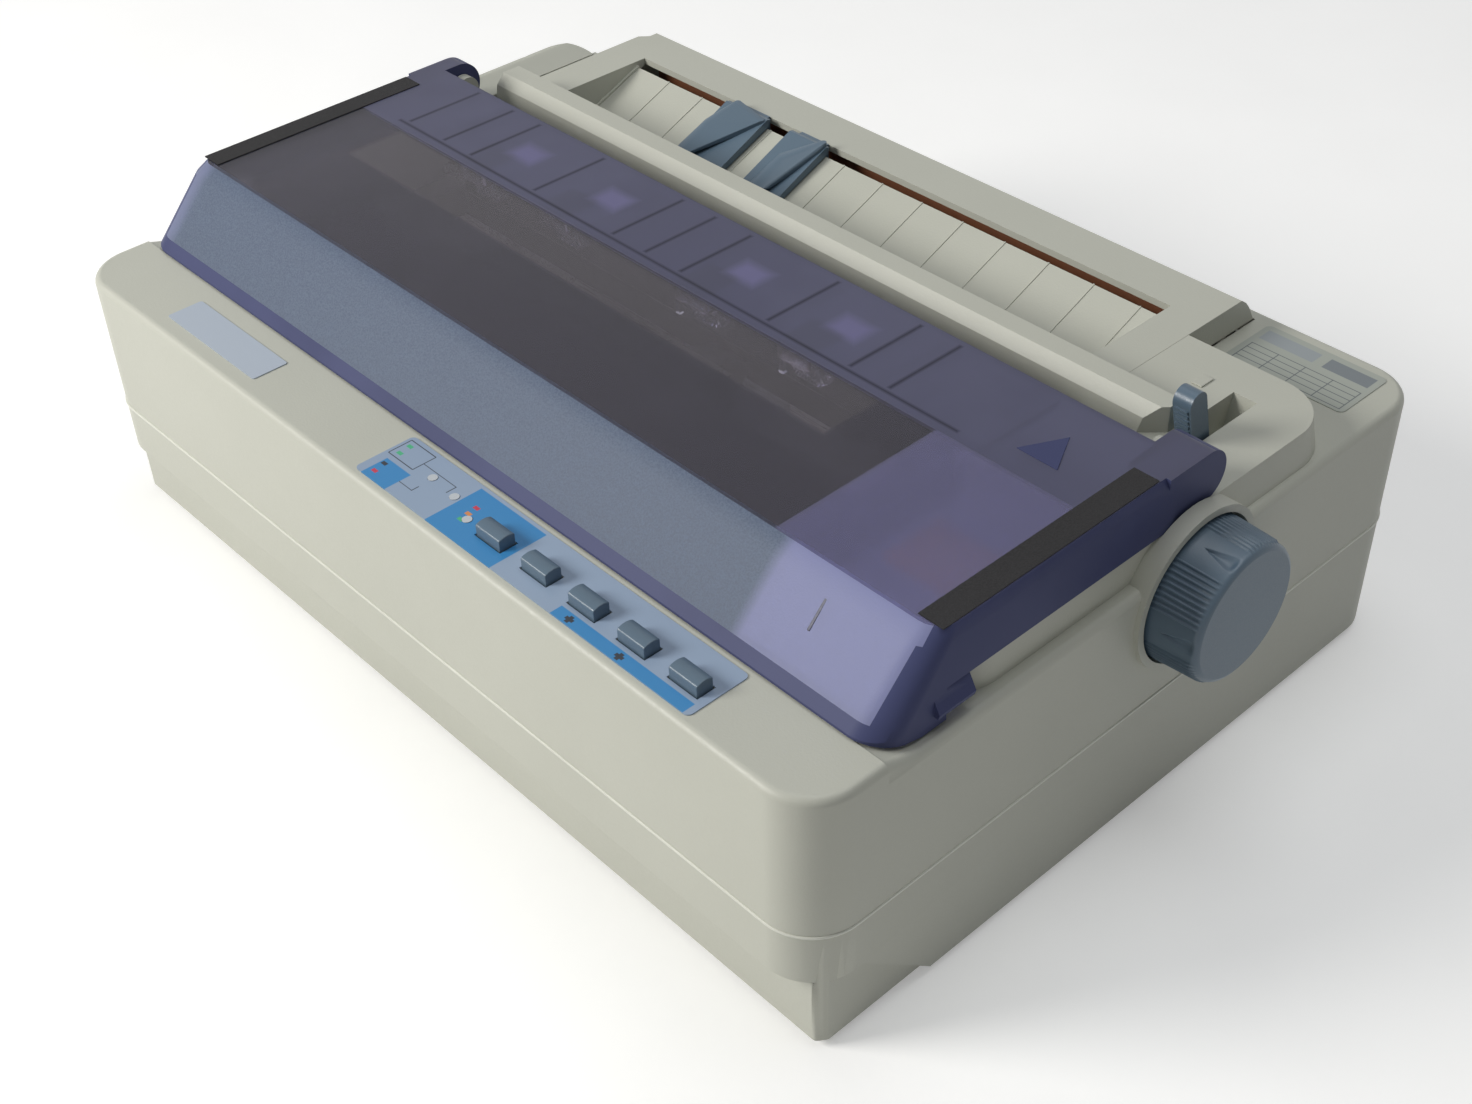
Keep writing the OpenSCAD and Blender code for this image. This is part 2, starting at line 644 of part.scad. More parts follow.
module sheet_cover() color([0.79, 0.79, 0.73]) at_case() difference() {
    axis = [cover_axis_y, cover_axis_z];
    x0 = hatch_x0 + 0.4;
    x1 = hatch_x1 - 0.4;
    union() {
        difference() {
            union() {
                box(x0, x1, cover_y0, rear_y0 + 1, cover_z - cover_t, cover_z);
                difference() {
                    along_x(x0, x1) hood_section();
                    along_x(x0 + hood_t, x1 - hood_t) hood_space();
                }
                // wall behind the set-in corner
                along_x(x0 + 1, x0 + 6) intersection() {
                    hood_section();
                    translate([128, 90]) square([30, 40]);
                }
            }
            box(tray_x0, tray_x1, cover_y0 - 1, slot_y1, 90, cover_z + 1);
        }
        for (x = [tray_x1 - 0.6, tray_x0 - barrel_w + 0.6]) along_x(x, x + barrel_w) {
            translate(axis) circle(barrel_r);
            polygon([[cover_axis_y - barrel_r, cover_axis_z], [cover_axis_y - barrel_r, cover_z - 1],
                [139.6, cover_z - 1], [cover_axis_y + 1.2, 114.4], [cover_axis_y + barrel_r, cover_axis_z]]);
        }
        for (x = [tray_x0 - 2.4, tray_x1]) along_x(x, x + 2.4)
            polygon([[cover_y0, tray_z(cover_y0) - tray_t], [cover_y0, cover_z], [slot_y1 + 1, cover_z],
                [slot_y1 + 1, cover_z - cover_t], [tray_y1, tray_z1 - tray_t]]);
        tray_plate(tray_x0 - 1, tray_x1 + 1);
        for (i = [0:12]) translate([0, 0, 0.35]) tray_plate(-155.2 + i * rib_pitch, -154.6 + i * rib_pitch);
        // raised edge along the left end of the tray
        translate([0, 0, 1.1]) tray_plate(tray_x0 - 1, tray_x0 + 1.2);
    }
    rod_x(tray_x1 - 2, tray_x1 + 13, axis, cover_pin_r + run);
    rod_x(tray_x0 - 13, tray_x0 + 2, axis, cover_pin_r + run);
    // room for the lugs
    for (x = cover_lug_spots) {
        rod_x(x - 0.4, x + lug_w + 0.4, axis, barrel_r + 0.4);
        box(x - 0.4, x + lug_w + 0.4, cover_axis_y, cover_y1 + 1, cover_foot_z - 1, cover_axis_z + barrel_r);
    }
    // the rear left corner is set in
    translate([0, 0, 90]) linear_extrude(40) polygon([[x0 - 1, 130.6], [x0 + 0.01, 130.6], [x0 + 3.6, 134.6],
        [x0 + 3.6, cover_y1 + 1], [x0 - 1, cover_y1 + 1]]);
}

// A sheet edge guide from x to x + w: a blade on the tray with a crest from grip_x to crest_x at
// its rear edge, held in the slot by its foot.
module edge_guide(x, w, grip_x, crest_x) {
    lift = 0.8;
    rear_y = tray_y1 + 0.6;
    along_x(x, x + w) polygon([[70, tray_z(70) + lift], [rear_y, tray_z(rear_y) + lift],
        [rear_y + 1, tray_z1 + 4], [rear_y - 1, tray_z1 + 4.6], [70, tray_z(70) + 3.4]]);
    hull() {
        translate([grip_x, 99.6, 115.4]) cylinder(h = 3, r = 3.4, $fn = 32);
        translate([grip_x, 85.6, 110.6]) cylinder(h = 0.6, r = 5, $fn = 32);
        translate([crest_x, rear_y - 0.6, 119.4]) cylinder(h = 3.8, r = 1.4, $fn = 32);
        translate([x + w - 2, rear_y - 3, 119.2]) cylinder(h = 2.4, r = 1.4, $fn = 32);
    }
    box(x + 3, x + w - 3, rear_y - 2, rear_y + 3.6, tray_z1 + 2, tray_z1 + 3.4);
    box(x + 3, x + w - 3, rear_y + 0.9, rear_y + 3.6, 105, tray_z1 + 3);
}

module left_guide() color([0.33, 0.41, 0.48]) at_case() edge_guide(-116, 26, -111, -109);

module right_guide() color([0.33, 0.41, 0.48]) at_case() edge_guide(-76, 22, -65, -56);

module slot_plate() color([0.55, 0.33, 0.22]) at_case() {
    box(frame_l, frame_r + frame_t, 112, 127.6, 88, 89.2);
    box(frame_l, frame_r + frame_t, 126.4, 127.6, 88, 110.5);
}

// ---------------------------------------------------------------- controls

module release_lever() color([0.34, 0.43, 0.50]) at_case() difference() {
    lean = atan2(lever_at[0] - lever_tip[0], lever_tip[1] - lever_at[1]);
    reach = norm(lever_tip - lever_at);
    translate([lever_x, 0, 0]) rotate([90, 0, 90]) union() {
        linear_extrude(lever_w) translate(lever_at) circle(7.5);
        linear_extrude(lever_w) translate(lever_at) rotate(lean) {
            translate([-4.5, 0]) square([9, reach]);
            translate([0, reach]) circle(4.5);
        }
        for (i = [0:6]) translate([lever_at[0], lever_at[1], 1]) rotate(lean)
            translate([-5.1, reach - 16 + i * 2.4, 0]) linear_extrude(lever_w - 2) square([1.2, 1.2]);
    }
    rod_x(lever_x - 1, lever_x + lever_w + 1, lever_at, lever_pin_r + run);
}

// Push button i: a cap with a rolled top, a flange under the deck and a plunger on its switch.
module push_button(i) color([0.35, 0.43, 0.50]) at_case()
    translate([button_x0 + i * button_pitch, button_y, 0]) {
        along_x(-button_len / 2, button_len / 2) intersection() {
            translate([0, cap_top - button_d]) circle(button_d);
            translate([-button_d / 2, 108.5]) square([button_d, cap_top - 108.5]);
        }
        box(-button_len / 2 - 1.5, button_len / 2 + 1.5, -button_d / 2 - 1.5, button_d / 2 + 1.5,
            108, deck_z - wall - 0.2);
        box(-2, 2, -2, 2, switch_top + button_travel + 0.1, 108);
    }

module button_1() push_button(0);
module button_2() push_button(1);
module button_3() push_button(2);
module button_4() push_button(3);
module button_5() push_button(4);

module panel_overlay() color([0.55, 0.63, 0.73]) at_case() difference() {
    prism(overlay_x0, overlay_x1, overlay_y0 + 1, overlay_y1, deck_z, deck_z + overlay_t, 2);
    for (i = [0:buttons - 1]) translate([button_x0 + i * button_pitch, button_y, deck_z - 1])
        translate([-button_len / 2 - 0.5, -button_d / 2 - 0.5, 0]) cube([button_len + 1, button_d + 1, 3]);
    at_spots(lamp_spots) translate([0, 0, deck_z - 1]) cylinder(h = 3, r = 1.9);
}

module status_lenses() color([0.85, 0.88, 0.9, 0.7]) at_case() at_spots(lamp_spots) {
    translate([0, 0, 103]) cylinder(h = deck_z + 0.6 - 103, r = 1.8);
}

module control_board() color([0.2, 0.4, 0.25]) at_case() {
    difference() {
        box(-16, 158, -151, -122, board_z, board_z + board_t);
        at_spots(board_spots) cylinder(h = 120, r = 1.6);
    }
    for (i = [0:buttons - 1]) translate([button_x0 + i * button_pitch, button_y, 0])
        box(-3, 3, -3, 3, board_z + board_t, switch_top);
    at_spots(lamp_spots) translate([0, 0, board_z + board_t]) cylinder(h = 2.2, r = 1.5);
}

module labels() color([0.78, 0.80, 0.84]) at_case() {
    prism(-151.5, -90.5, -148, -133, deck_z, deck_z + 0.4, 1);
    prism(146, 198, 120, 149.5, ledge_z, ledge_z + 0.3, 2.5);
}

module inner_label() color([0.80, 0.45, 0.25]) at_case() box(137, 172, -52, -24, shelf_z, shelf_z + 0.3);

// ---------------------------------------------------------------- frames

module chassis() color([0.6, 0.6, 0.62]) at_case() {
    difference() {
        box(frame_l, frame_r + frame_t, -62, 120, plate_z, plate_z + 2);
        at_spots(post_spots) translate([0, 0, plate_z - 1]) cylinder(h = 4, r = 1.7);
        translate([idler_pulley_x, belt_y, plate_z - 1]) cylinder(h = 4, r = 2);
    }
    box(frame_l + 3, frame_r - 3, -52, -50, plate_z + 1, 62);
    for (x = [-120, -20, 80]) box(x, x + 14, -50.5, -46, plate_z + 1, plate_z + 11);
}

module frame_outline() polygon([[-62, plate_z + 2], [-62, 90], [2, 90], [2, 108], [38, 108], [38, 84],
    [112, 84], [112, 88], [120, 88], [120, plate_z + 2]]);

module side_frame(x, rotor) along_x(x, x + frame_t) difference() {
    frame_outline();
    translate([platen_y, platen_z]) circle(8);
    translate([slide_y, slide_z]) circle(slide_r + eps);
    translate(tractor_at) circle(rod_r + run);
    translate(rod_at) circle(rod_r + eps);
    if (rotor) translate(pinion_at) circle(3);
}

module left_frame() color([0.62, 0.62, 0.64]) at_case() side_frame(frame_l, false);

module right_frame() color([0.62, 0.62, 0.64]) at_case() {
    side_frame(frame_r, true);
    for (a = [idler_at, link_at]) {
        rod_x(frame_r + frame_t, gear_x - 0.2, a, 5);
        rod_x(frame_r + frame_t, gear_x + gear_w + 1, a, rod_r);
    }
}

// ---------------------------------------------------------------- paper drive

module platen_roller() color([0.13, 0.13, 0.13]) at_case()
    along_x(platen_x - platen_len / 2, platen_x + platen_len / 2)
        translate([platen_y, platen_z]) difference() {
        circle(platen_r);
        circle(4 + eps);
    }

module platen_shaft() color([0.7, 0.7, 0.72]) at_case() rod_x(-186, hx + 14, [platen_y, platen_z], 4);

module platen_bushes() color([0.85, 0.83, 0.76]) at_case()
    for (s = [[frame_l - 1, frame_l + 4.5], [frame_r - 2.5, frame_r + 3]])
        along_x(s[0], s[1]) translate([platen_y, platen_z]) difference() {
            circle(8 - eps);
            circle(4.05);
        }

module platen_gear() color([0.9, 0.88, 0.8]) at_case() {
    gear(platen_teeth, [platen_y, platen_z], platen_phase, 4 + eps);
    along_x(gear_x + gear_w, gear_x + gear_w + 4) translate([platen_y, platen_z]) difference() {
        circle(8);
        circle(4 + eps);
    }
}

module platen_knob() color([0.30, 0.39, 0.46]) at_case() {
    len = hx + knob_out - knob_base_x;
    rib_w = 1.1;
    rib_len = len - 5;
    difference() {
        union() {
            translate([knob_base_x, platen_y, platen_z]) rotate([0, 90, 0]) rotate_extrude()
                polygon([[0, 0], [knob_r - 0.6, 0], [knob_r - 1.8, len - 2.2], [knob_r - 3.6, len],
                    [0, len]]);
            rod_x(207.2, knob_base_x + 1, [platen_y, platen_z], 10);
            for (g = [0:4], k = [-5:4]) translate([knob_base_x + 3, platen_y, platen_z])
                rotate([g * 72 + (k + 0.5) * 4.2, 0, 0])
                translate([0, rib_w / 2, knob_r]) rotate([90, 0, 0]) linear_extrude(rib_w)
                polygon([[0, -3], [0, 0], [rib_len, -1.2], [rib_len, -3]]);
        }
        rod_x(207, hx + 14, [platen_y, platen_z], 4 + eps);
    }
}

module idler_gear() color([0.9, 0.88, 0.8]) at_case() gear(idler_teeth, idler_at, idler_phase, rod_r + run);

module link_gear() color([0.9, 0.88, 0.8]) at_case() gear(link_teeth, link_at, link_phase, rod_r + run);

module feed_motor() color([0.25, 0.25, 0.27]) at_case() difference() {
    union() {
        rod_x(frame_r - 24, frame_r, pinion_at, motor_r);
        rod_x(frame_r - 26, frame_r - 24, pinion_at, 8);
    }
    rod_x(frame_r - 12, frame_r + 1, pinion_at, 1.5 + run);
}

module feed_pinion() color([0.85, 0.75, 0.45]) at_case() {
    along_x(gear_x, gear_x + gear_w) translate(pinion_at) gear_2d(pinion_teeth, pinion_phase);
    rod_x(frame_r - 11, gear_x + 1, pinion_at, 1.5);
}

module tractor_gear() color([0.9, 0.88, 0.8]) at_case()
    gear(tractor_teeth, tractor_at, tractor_phase, rod_r + eps);

module tractor_shaft() color([0.7, 0.7, 0.72]) at_case() {
    along_x(frame_l + 3, frame_r - 1) translate(tractor_at) square(square_w, center = true);
    rod_x(frame_l - 2, frame_l + 4, tractor_at, rod_r);
    rod_x(frame_r - 2, gear_x + gear_w + 1, tractor_at, rod_r);
}

module tractor_rod() color([0.7, 0.7, 0.72]) at_case()
    rod_x(frame_l - 1, frame_r + frame_t + 1, rod_at, rod_r);

// One tractor. side is -1 for the left and 1 for the right one; its wheel faces the middle.
function wheel_x(side) = platen_x + 2 + side * tractor_gap / 2;

module tractor(side) {
    x0 = side < 0 ? wheel_x(side) - wheel_w / 2 - 0.5 - tractor_w : wheel_x(side) + wheel_w / 2 + 0.5;
    difference() {
        union() {
            along_x(x0, x0 + tractor_w)
                polygon([[76, 49], [76, 68], [80, 71.6], [118, 71.6], [122, 66], [122, 49]]);
            translate([side < 0 ? x0 - 2.5 : x0 + tractor_w - 2.5, 0, door_z]) rotate([-90, 0, 0])
                for (y = [78, 112]) translate([2.5, 0, y]) cylinder(h = 6, r = 2.2);
            for (y = [78, 112]) box(side < 0 ? x0 : x0 + tractor_w - 2, side < 0 ? x0 + 2 : x0 + tractor_w,
                y, y + 6, 70, door_z);
        }
        rod_x(x0 - 1, x0 + tractor_w + 1, tractor_at, 4.7);
        rod_x(x0 - 1, x0 + tractor_w + 1, rod_at, rod_r + run);
        translate([side < 0 ? x0 : x0 + tractor_w, 70, door_z]) rotate([-90, 0, 0])
            cylinder(h = 60, r = 1);
    }
}

module pin_wheel(side) {
    along_x(wheel_x(side) - wheel_w / 2, wheel_x(side) + wheel_w / 2) translate(tractor_at) difference() {
        circle(wheel_r);
        square(square_w + 0.12, center = true);
    }
    for (i = [0:wheel_pins - 1]) translate([wheel_x(side), tractor_at[0], tractor_at[1]])
        rotate([i * 360 / wheel_pins + 30, 0, 0]) translate([0, 0, wheel_r - 1]) cylinder(h = 2.6, r = 1.3);
}

module tractor_door(side) {
    x0 = wheel_x(side) + side * (wheel_w / 2 + 0.5 + tractor_w);
    reach = tractor_w + wheel_w + 2;
    difference() {
        union() {
            box(side < 0 ? x0 - 1 : x0 - reach, side < 0 ? x0 + reach : x0 + 1, 85, 111,
                door_z - 1, door_z + 1);
            translate([x0, 85, door_z]) rotate([-90, 0, 0]) cylinder(h = 26, r = 2);
        }
        box(wheel_x(side) - 1.8, wheel_x(side) + 1.8, 86.5, 98, 70, 80);
    }
    translate([x0, 79, door_z]) rotate([-90, 0, 0]) cylinder(h = 38, r = 0.95);
}

module left_tractor() color([0.2, 0.22, 0.24]) at_case() tractor(-1);
module right_tractor() color([0.2, 0.22, 0.24]) at_case() tractor(1);
module left_pin_wheel() color([0.75, 0.75, 0.7]) at_case() pin_wheel(-1);
module right_pin_wheel() color([0.75, 0.75, 0.7]) at_case() pin_wheel(1);
module left_door() color([0.3, 0.34, 0.38]) at_case() tractor_door(-1);
module right_door() color([0.3, 0.34, 0.38]) at_case() tractor_door(1);

// ---------------------------------------------------------------- print head and ribbon

module carriage_shaft() color([0.75, 0.75, 0.77]) at_case()
    rod_x(frame_l - 1, frame_r + frame_t + 1, [slide_y, slide_z], slide_r);

module carriage() color([0.16, 0.16, 0.17]) at_case() {
    x0 = carriage_x - carriage_w / 2;
    x1 = carriage_x + carriage_w / 2;
    difference() {
        union() {
            box(x0, x1, -36, -8, 57, 80);
            box(carriage_x - 10, carriage_x + 10, -56, -35, 58, 66);
            box(carriage_x - 8, carriage_x + 8, -13, -5, 42, 58);
        }
        rod_x(x0 - 1, x1 + 1, [slide_y, slide_z], slide_r + run);
        box(carriage_x - 11, carriage_x + 11, -52.6, -49.4, 50, 62.6);
        box(carriage_x - 9, carriage_x + 9, belt_y - pulley_r - belt_t - 0.5, belt_y - pulley_r + 0.4,
            belt_z - 3, belt_z + belt_h + 0.6);
    }
}

module print_head() color([0.12, 0.12, 0.13]) at_case() {
    x0 = carriage_x - 17;
    box(x0, x0 + 34, -33, -12, 80, 84);
    for (i = [0:6]) box(x0, x0 + 34, -33, -12, 84.8 + i * 2.6, 86.2 + i * 2.6);
    box(x0 + 3, x0 + 31, -31, -14, 84, 104);
    along_x(carriage_x - 9, carriage_x + 9)
        polygon([[-14, 82], [-14, 103], [-6, 100], [nose_y, 96.4], [nose_y, 90.4], [-6, 84]]);
}

module card_guide() color([0.85, 0.86, 0.9, 0.5]) at_case() {
    difference() {
        box(carriage_x - 30, carriage_x + 30, 4.3, 4.9, 78.4, 113);
        box(carriage_x - 8, carriage_x + 8, 4, 5.2, 89, 98);
    }
    for (s = [-1, 1]) box(carriage_x + s * 20 - 1.2, carriage_x + s * 20 + 1.2, -8, 4.4, 74, 79);
    for (s = [-1, 1]) box(carriage_x + s * 29 - 1, carriage_x + s * 29 + 1, 1.5, 4.4, 101.5, 113);
}

module belt_loop(r) {
    for (x = [motor_pulley_x, idler_pulley_x]) translate([x, belt_y]) circle(r);
    translate([motor_pulley_x, belt_y - r]) square([idler_pulley_x - motor_pulley_x, 2 * r]);
}

module carriage_belt() color([0.08, 0.08, 0.08]) at_case() translate([0, 0, belt_z])
    linear_extrude(belt_h) difference() {
        belt_loop(pulley_r + 0.1 + belt_t);
        belt_loop(pulley_r + 0.1);
    }

module carriage_motor() color([0.25, 0.25, 0.27]) at_case() translate([motor_pulley_x, belt_y, 0])
difference() {
    translate([0, 0, plate_z + 2]) cylinder(h = 18, r = motor_r);
    translate([0, 0, plate_z + 12]) cylinder(h = 20, r = 2 + run);
}

module pulley(h) {
    translate([0, 0, belt_z - 1.2]) cylinder(h = 1, r = pulley_r + 1.6);
    translate([0, 0, belt_z - 0.2]) cylinder(h = h, r = pulley_r);
}

module drive_pulley() color([0.6, 0.6, 0.62]) at_case() translate([motor_pulley_x, belt_y, 0]) {
    pulley(belt_h + 0.8);
    translate([0, 0, plate_z + 13]) cylinder(h = 12, r = 2);
}

module idler_pulley() color([0.6, 0.6, 0.62]) at_case() translate([idler_pulley_x, belt_y, 0]) {
    pulley(belt_h + 0.8);
    translate([0, 0, plate_z - 0.5]) cylinder(h = belt_z - plate_z, r = 1.94);
}

module ribbon_cartridge() color([0.10, 0.10, 0.11]) at_case() {
    difference() {
        union() {
            prism(ribbon_x0, ribbon_x1, ribbon_y0, ribbon_y1, ribbon_z0, ribbon_z1, 10);
            for (x = [ribbon_x0, ribbon_x1 - arm_w]) box(x, x + arm_w, ribbon_y1 - 12, 3.4, 90.5, 104);
            for (x = [frame_l - 1, frame_r - 2]) box(x, x + 5, -58, -48, 90, 93);
        }
        translate([spool_at[0], spool_at[1], ribbon_z1 - 10]) cylinder(h = 12, r = 3 + run);
    }
    box(ribbon_x0 + 2, ribbon_x1 - 2, 3.5, 3.75, 88, 100);
    for (x = [ribbon_x0 + 4, ribbon_x1 - 8]) box(x, x + 4, 3, 3.75, 91, 100);
}

module ribbon_knob() color([0.15, 0.15, 0.16]) at_case() translate([spool_at[0], spool_at[1], 0]) {
    difference() {
        translate([0, 0, ribbon_z1 + 0.3]) cylinder(h = 6, r = 9);
        for (a = [0:30:330]) rotate(a) translate([9.4, 0, 100]) cylinder(h = 30, r = 1.3);
    }
    translate([0, 0, ribbon_z1 - 8]) cylinder(h = 10, r = 3);
}

// ---------------------------------------------------------------- electrics

module main_board() color([0.18, 0.42, 0.26]) at_case() {
    box(-150, 90, -96, 96, 10, 11.6);
    for (x = [-120, -60, 10, 60], y = [-70, 20]) box(x, x + 18, y, y + 26, 11.6, 15);
    at_spots([[-140, -86], [80, -86], [-140, 86], [80, 86]]) translate([0, 0, foot_h + wall])
        cylinder(h = 10 - foot_h - wall, r = 3);
}

module power_unit() color([0.45, 0.45, 0.47]) at_case() {
    box(138, 196, 20, 110, foot_h + wall, 9);
    box(146, 188, 30, 84, 9, 48);
    for (y = [90, 100]) translate([150, y, 9]) cylinder(h = 24, r = 4.5);
    for (y = [26, 84]) box(150, 184, y, y + 4, 12, 45);
}

module rear_sockets() color([0.10, 0.10, 0.11]) at_case() {
    difference() {
        box(inlet_x - 13.8, inlet_x + 13.8, hy - 22, hy - 0.4, panel_z - 9.8, panel_z + 9.8);
        box(inlet_x - 11, inlet_x + 11, hy - 18, hy + 1, panel_z - 7.5, panel_z + 7.5);
    }
    for (x = [-6, 0, 6]) box(inlet_x + x - 1, inlet_x + x + 1, hy - 19, hy - 6, panel_z - 2, panel_z + 2);
    difference() {
        box(port_x - 31.8, port_x + 31.8, hy - 14, hy - 0.4, panel_z - 8.8, panel_z + 8.8);
        box(port_x - 26, port_x + 26, hy - 10, hy + 1, panel_z - 5, panel_z + 5);
    }
    box(port_x - 22, port_x + 22, hy - 11, hy - 3, panel_z - 1.6, panel_z + 1.6);
    difference() {
        box(switch_x - 10.8, switch_x + 10.8, hy - 16, hy - 0.2, panel_z - 7.8, panel_z + 7.8);
        box(switch_x - 9, switch_x + 9, hy - 13, hy + 1, panel_z - 6.2, panel_z + 6.2);
        rod_x(switch_x - 10, switch_x + 10, [hy - 6, panel_z], 1.5 + run);
    }
}

module power_switch() color([0.14, 0.14, 0.15]) at_case() {
    along_x(switch_x - 8.7, switch_x + 8.7)
        polygon([[hy - 8, panel_z - 5.4], [hy - 2.6, panel_z - 5.8], [hy - 2.2, panel_z],
            [hy - 0.4, panel_z + 5],
            [hy - 8, panel_z + 5.4]]);
    rod_x(switch_x - 9.8, switch_x + 9.8, [hy - 6, panel_z], 1.5);
}

lower_case();
upper_case();
feet();
case_screws();
access_lid();
lid_strips();
roller_holders();
star_wheels();
pivot_pins();
exit_bar();
sheet_cover();
left_guide();
right_guide();
slot_plate();
release_lever();
button_1();
button_2();
button_3();
button_4();
button_5();
panel_overlay();
status_lenses();
control_board();
labels();
inner_label();
chassis();
left_frame();
right_frame();
platen_roller();
platen_shaft();
platen_bushes();
platen_gear();
platen_knob();
idler_gear();
link_gear();
feed_motor();
feed_pinion();
tractor_gear();
tractor_shaft();
tractor_rod();
left_tractor();
right_tractor();
left_pin_wheel();
right_pin_wheel();
left_door();
right_door();
carriage_shaft();
carriage();
print_head();
card_guide();
carriage_belt();
carriage_motor();
drive_pulley();
idler_pulley();
ribbon_cartridge();
ribbon_knob();
main_board();
power_unit();
power_switch();
rear_sockets();
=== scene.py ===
"""Looks of the desktop dot matrix printer: finishes, finely shaped pieces, studio and camera."""

import bmesh
import bpy
import json
import math
from mathutils import Matrix, Vector


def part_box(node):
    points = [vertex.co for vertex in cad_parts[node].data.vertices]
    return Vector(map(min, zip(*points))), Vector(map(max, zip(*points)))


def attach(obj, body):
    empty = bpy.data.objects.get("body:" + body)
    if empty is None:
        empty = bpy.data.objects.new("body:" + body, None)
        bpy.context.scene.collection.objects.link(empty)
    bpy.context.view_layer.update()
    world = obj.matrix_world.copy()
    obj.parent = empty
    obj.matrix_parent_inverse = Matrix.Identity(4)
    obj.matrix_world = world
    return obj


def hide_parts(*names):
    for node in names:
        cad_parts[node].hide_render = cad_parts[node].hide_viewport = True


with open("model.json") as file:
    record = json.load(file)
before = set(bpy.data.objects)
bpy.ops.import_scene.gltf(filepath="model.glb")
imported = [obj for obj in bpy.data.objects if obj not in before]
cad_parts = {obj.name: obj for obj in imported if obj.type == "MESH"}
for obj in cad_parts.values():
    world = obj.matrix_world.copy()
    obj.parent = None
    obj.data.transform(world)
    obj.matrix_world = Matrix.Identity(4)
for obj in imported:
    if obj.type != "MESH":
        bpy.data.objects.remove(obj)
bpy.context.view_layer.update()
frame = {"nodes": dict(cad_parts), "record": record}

NODES = frame["nodes"]
BODIES = frame["record"]["behaviour"]["bodies"]
BODY_OF = {node: body for body, nodes in BODIES.items() for node in nodes}
SLOT_OF = {entry["node"]: entry["material_slot"] for entry in frame["record"]["subparts"]}

# Case coordinates are millimetres with x = 0 on the middle of the case.
MM = 0.001
CASE_X = -0.0105

CAMERA_PLACE = (481.8, -421.1, 522.0)
CAMERA_AZIMUTH = 48.43
CAMERA_ELEVATION = 39.36
CAMERA_ROLL = -1.98
CAMERA_LENS = 48.58


def at(x, y, z):
    """Case millimetres to metres in the machine's frame."""
    return Vector((x * MM + CASE_X, y * MM, z * MM))


def srgb(red, green, blue):
    """A screen colour from 0 to 255 as a linear colour."""
    def linear(value):
        value /= 255
        return value / 12.92 if value <= 0.04045 else ((value + 0.055) / 1.055) ** 2.4
    return (linear(red), linear(green), linear(blue), 1)


# ---------------------------------------------------------------- materials

def add(tree, kind, **inputs):
    """A shader node with its inputs set by name; a value that is a socket is linked."""
    node = tree.nodes.new(kind)
    for name, value in inputs.items():
        place = node.inputs[name.replace("_", " ")]
        if isinstance(value, bpy.types.NodeSocket):
            tree.links.new(value, place)
        else:
            place.default_value = value
    return node


def math_node(tree, operation, first, second=0.0):
    node = tree.nodes.new("ShaderNodeMath")
    node.operation = operation
    for place, value in zip(node.inputs, (first, second)):
        if isinstance(value, bpy.types.NodeSocket):
            tree.links.new(value, place)
        else:
            place.default_value = value
    return node.outputs[0]


def ramp(tree, value, low, high, first=0.0, last=1.0):
    """Maps value from low..high to first..last, clamped."""
    node = tree.nodes.new("ShaderNodeMapRange")
    tree.links.new(value, node.inputs["Value"])
    for name, number in (("From Min", low), ("From Max", high), ("To Min", first), ("To Max", last)):
        node.inputs[name].default_value = number
    return node.outputs["Result"]


def new_group(name, inputs, outputs):
    group = bpy.data.node_groups.new(name, "ShaderNodeTree")
    for label, value in inputs:
        socket = group.interface.new_socket(label, in_out="INPUT", socket_type="NodeSocketFloat")
        socket.default_value = value
    for label in outputs:
        group.interface.new_socket(label, in_out="OUTPUT", socket_type="NodeSocketFloat")
    return group, group.nodes.new("NodeGroupInput"), group.nodes.new("NodeGroupOutput")


def make_grain():
    """Fine spark-eroded skin of a moulding, with a slow drift of tone over it."""
    group, given, result = new_group("moulded_grain", [("Scale", 900.0), ("Drift", 9.0)], ["Height", "Tone"])
    place = group.nodes.new("ShaderNodeTexCoord").outputs["Object"]
    fine = add(group, "ShaderNodeTexNoise", Vector=place, Scale=given.outputs["Scale"], Detail=3.0,
               Roughness=0.6)
    slow = add(group, "ShaderNodeTexNoise", Vector=place, Scale=given.outputs["Drift"], Detail=4.0,
               Roughness=0.55)
    group.links.new(fine.outputs["Fac"], result.inputs["Height"])
    group.links.new(ramp(group, slow.outputs["Fac"], 0.3, 0.7), result.inputs["Tone"])
    return group


def make_brushed():
    """Long fine scratches along X with faint cross marks, for rolled and turned metal."""
    group, given, result = new_group("brushed_lines", [("Scale", 60.0), ("Stretch", 30.0)], ["Height", "Tone"])
    place = group.nodes.new("ShaderNodeTexCoord").outputs["Object"]
    split = group.nodes.new("ShaderNodeSeparateXYZ")
    group.links.new(place, split.inputs[0])
    join = group.nodes.new("ShaderNodeCombineXYZ")
    group.links.new(split.outputs["X"], join.inputs["X"])
    for axis in "YZ":
        spread = math_node(group, "MULTIPLY", split.outputs[axis], given.outputs["Stretch"])
        group.links.new(spread, join.inputs[axis])
    lines = add(group, "ShaderNodeTexNoise", Vector=join.outputs[0], Scale=given.outputs["Scale"], Detail=5.0)
    cloud = add(group, "ShaderNodeTexNoise", Vector=place, Scale=35.0, Detail=3.0)
    group.links.new(lines.outputs["Fac"], result.inputs["Height"])
    group.links.new(ramp(group, cloud.outputs["Fac"], 0.35, 0.65), result.inputs["Tone"])
    return group


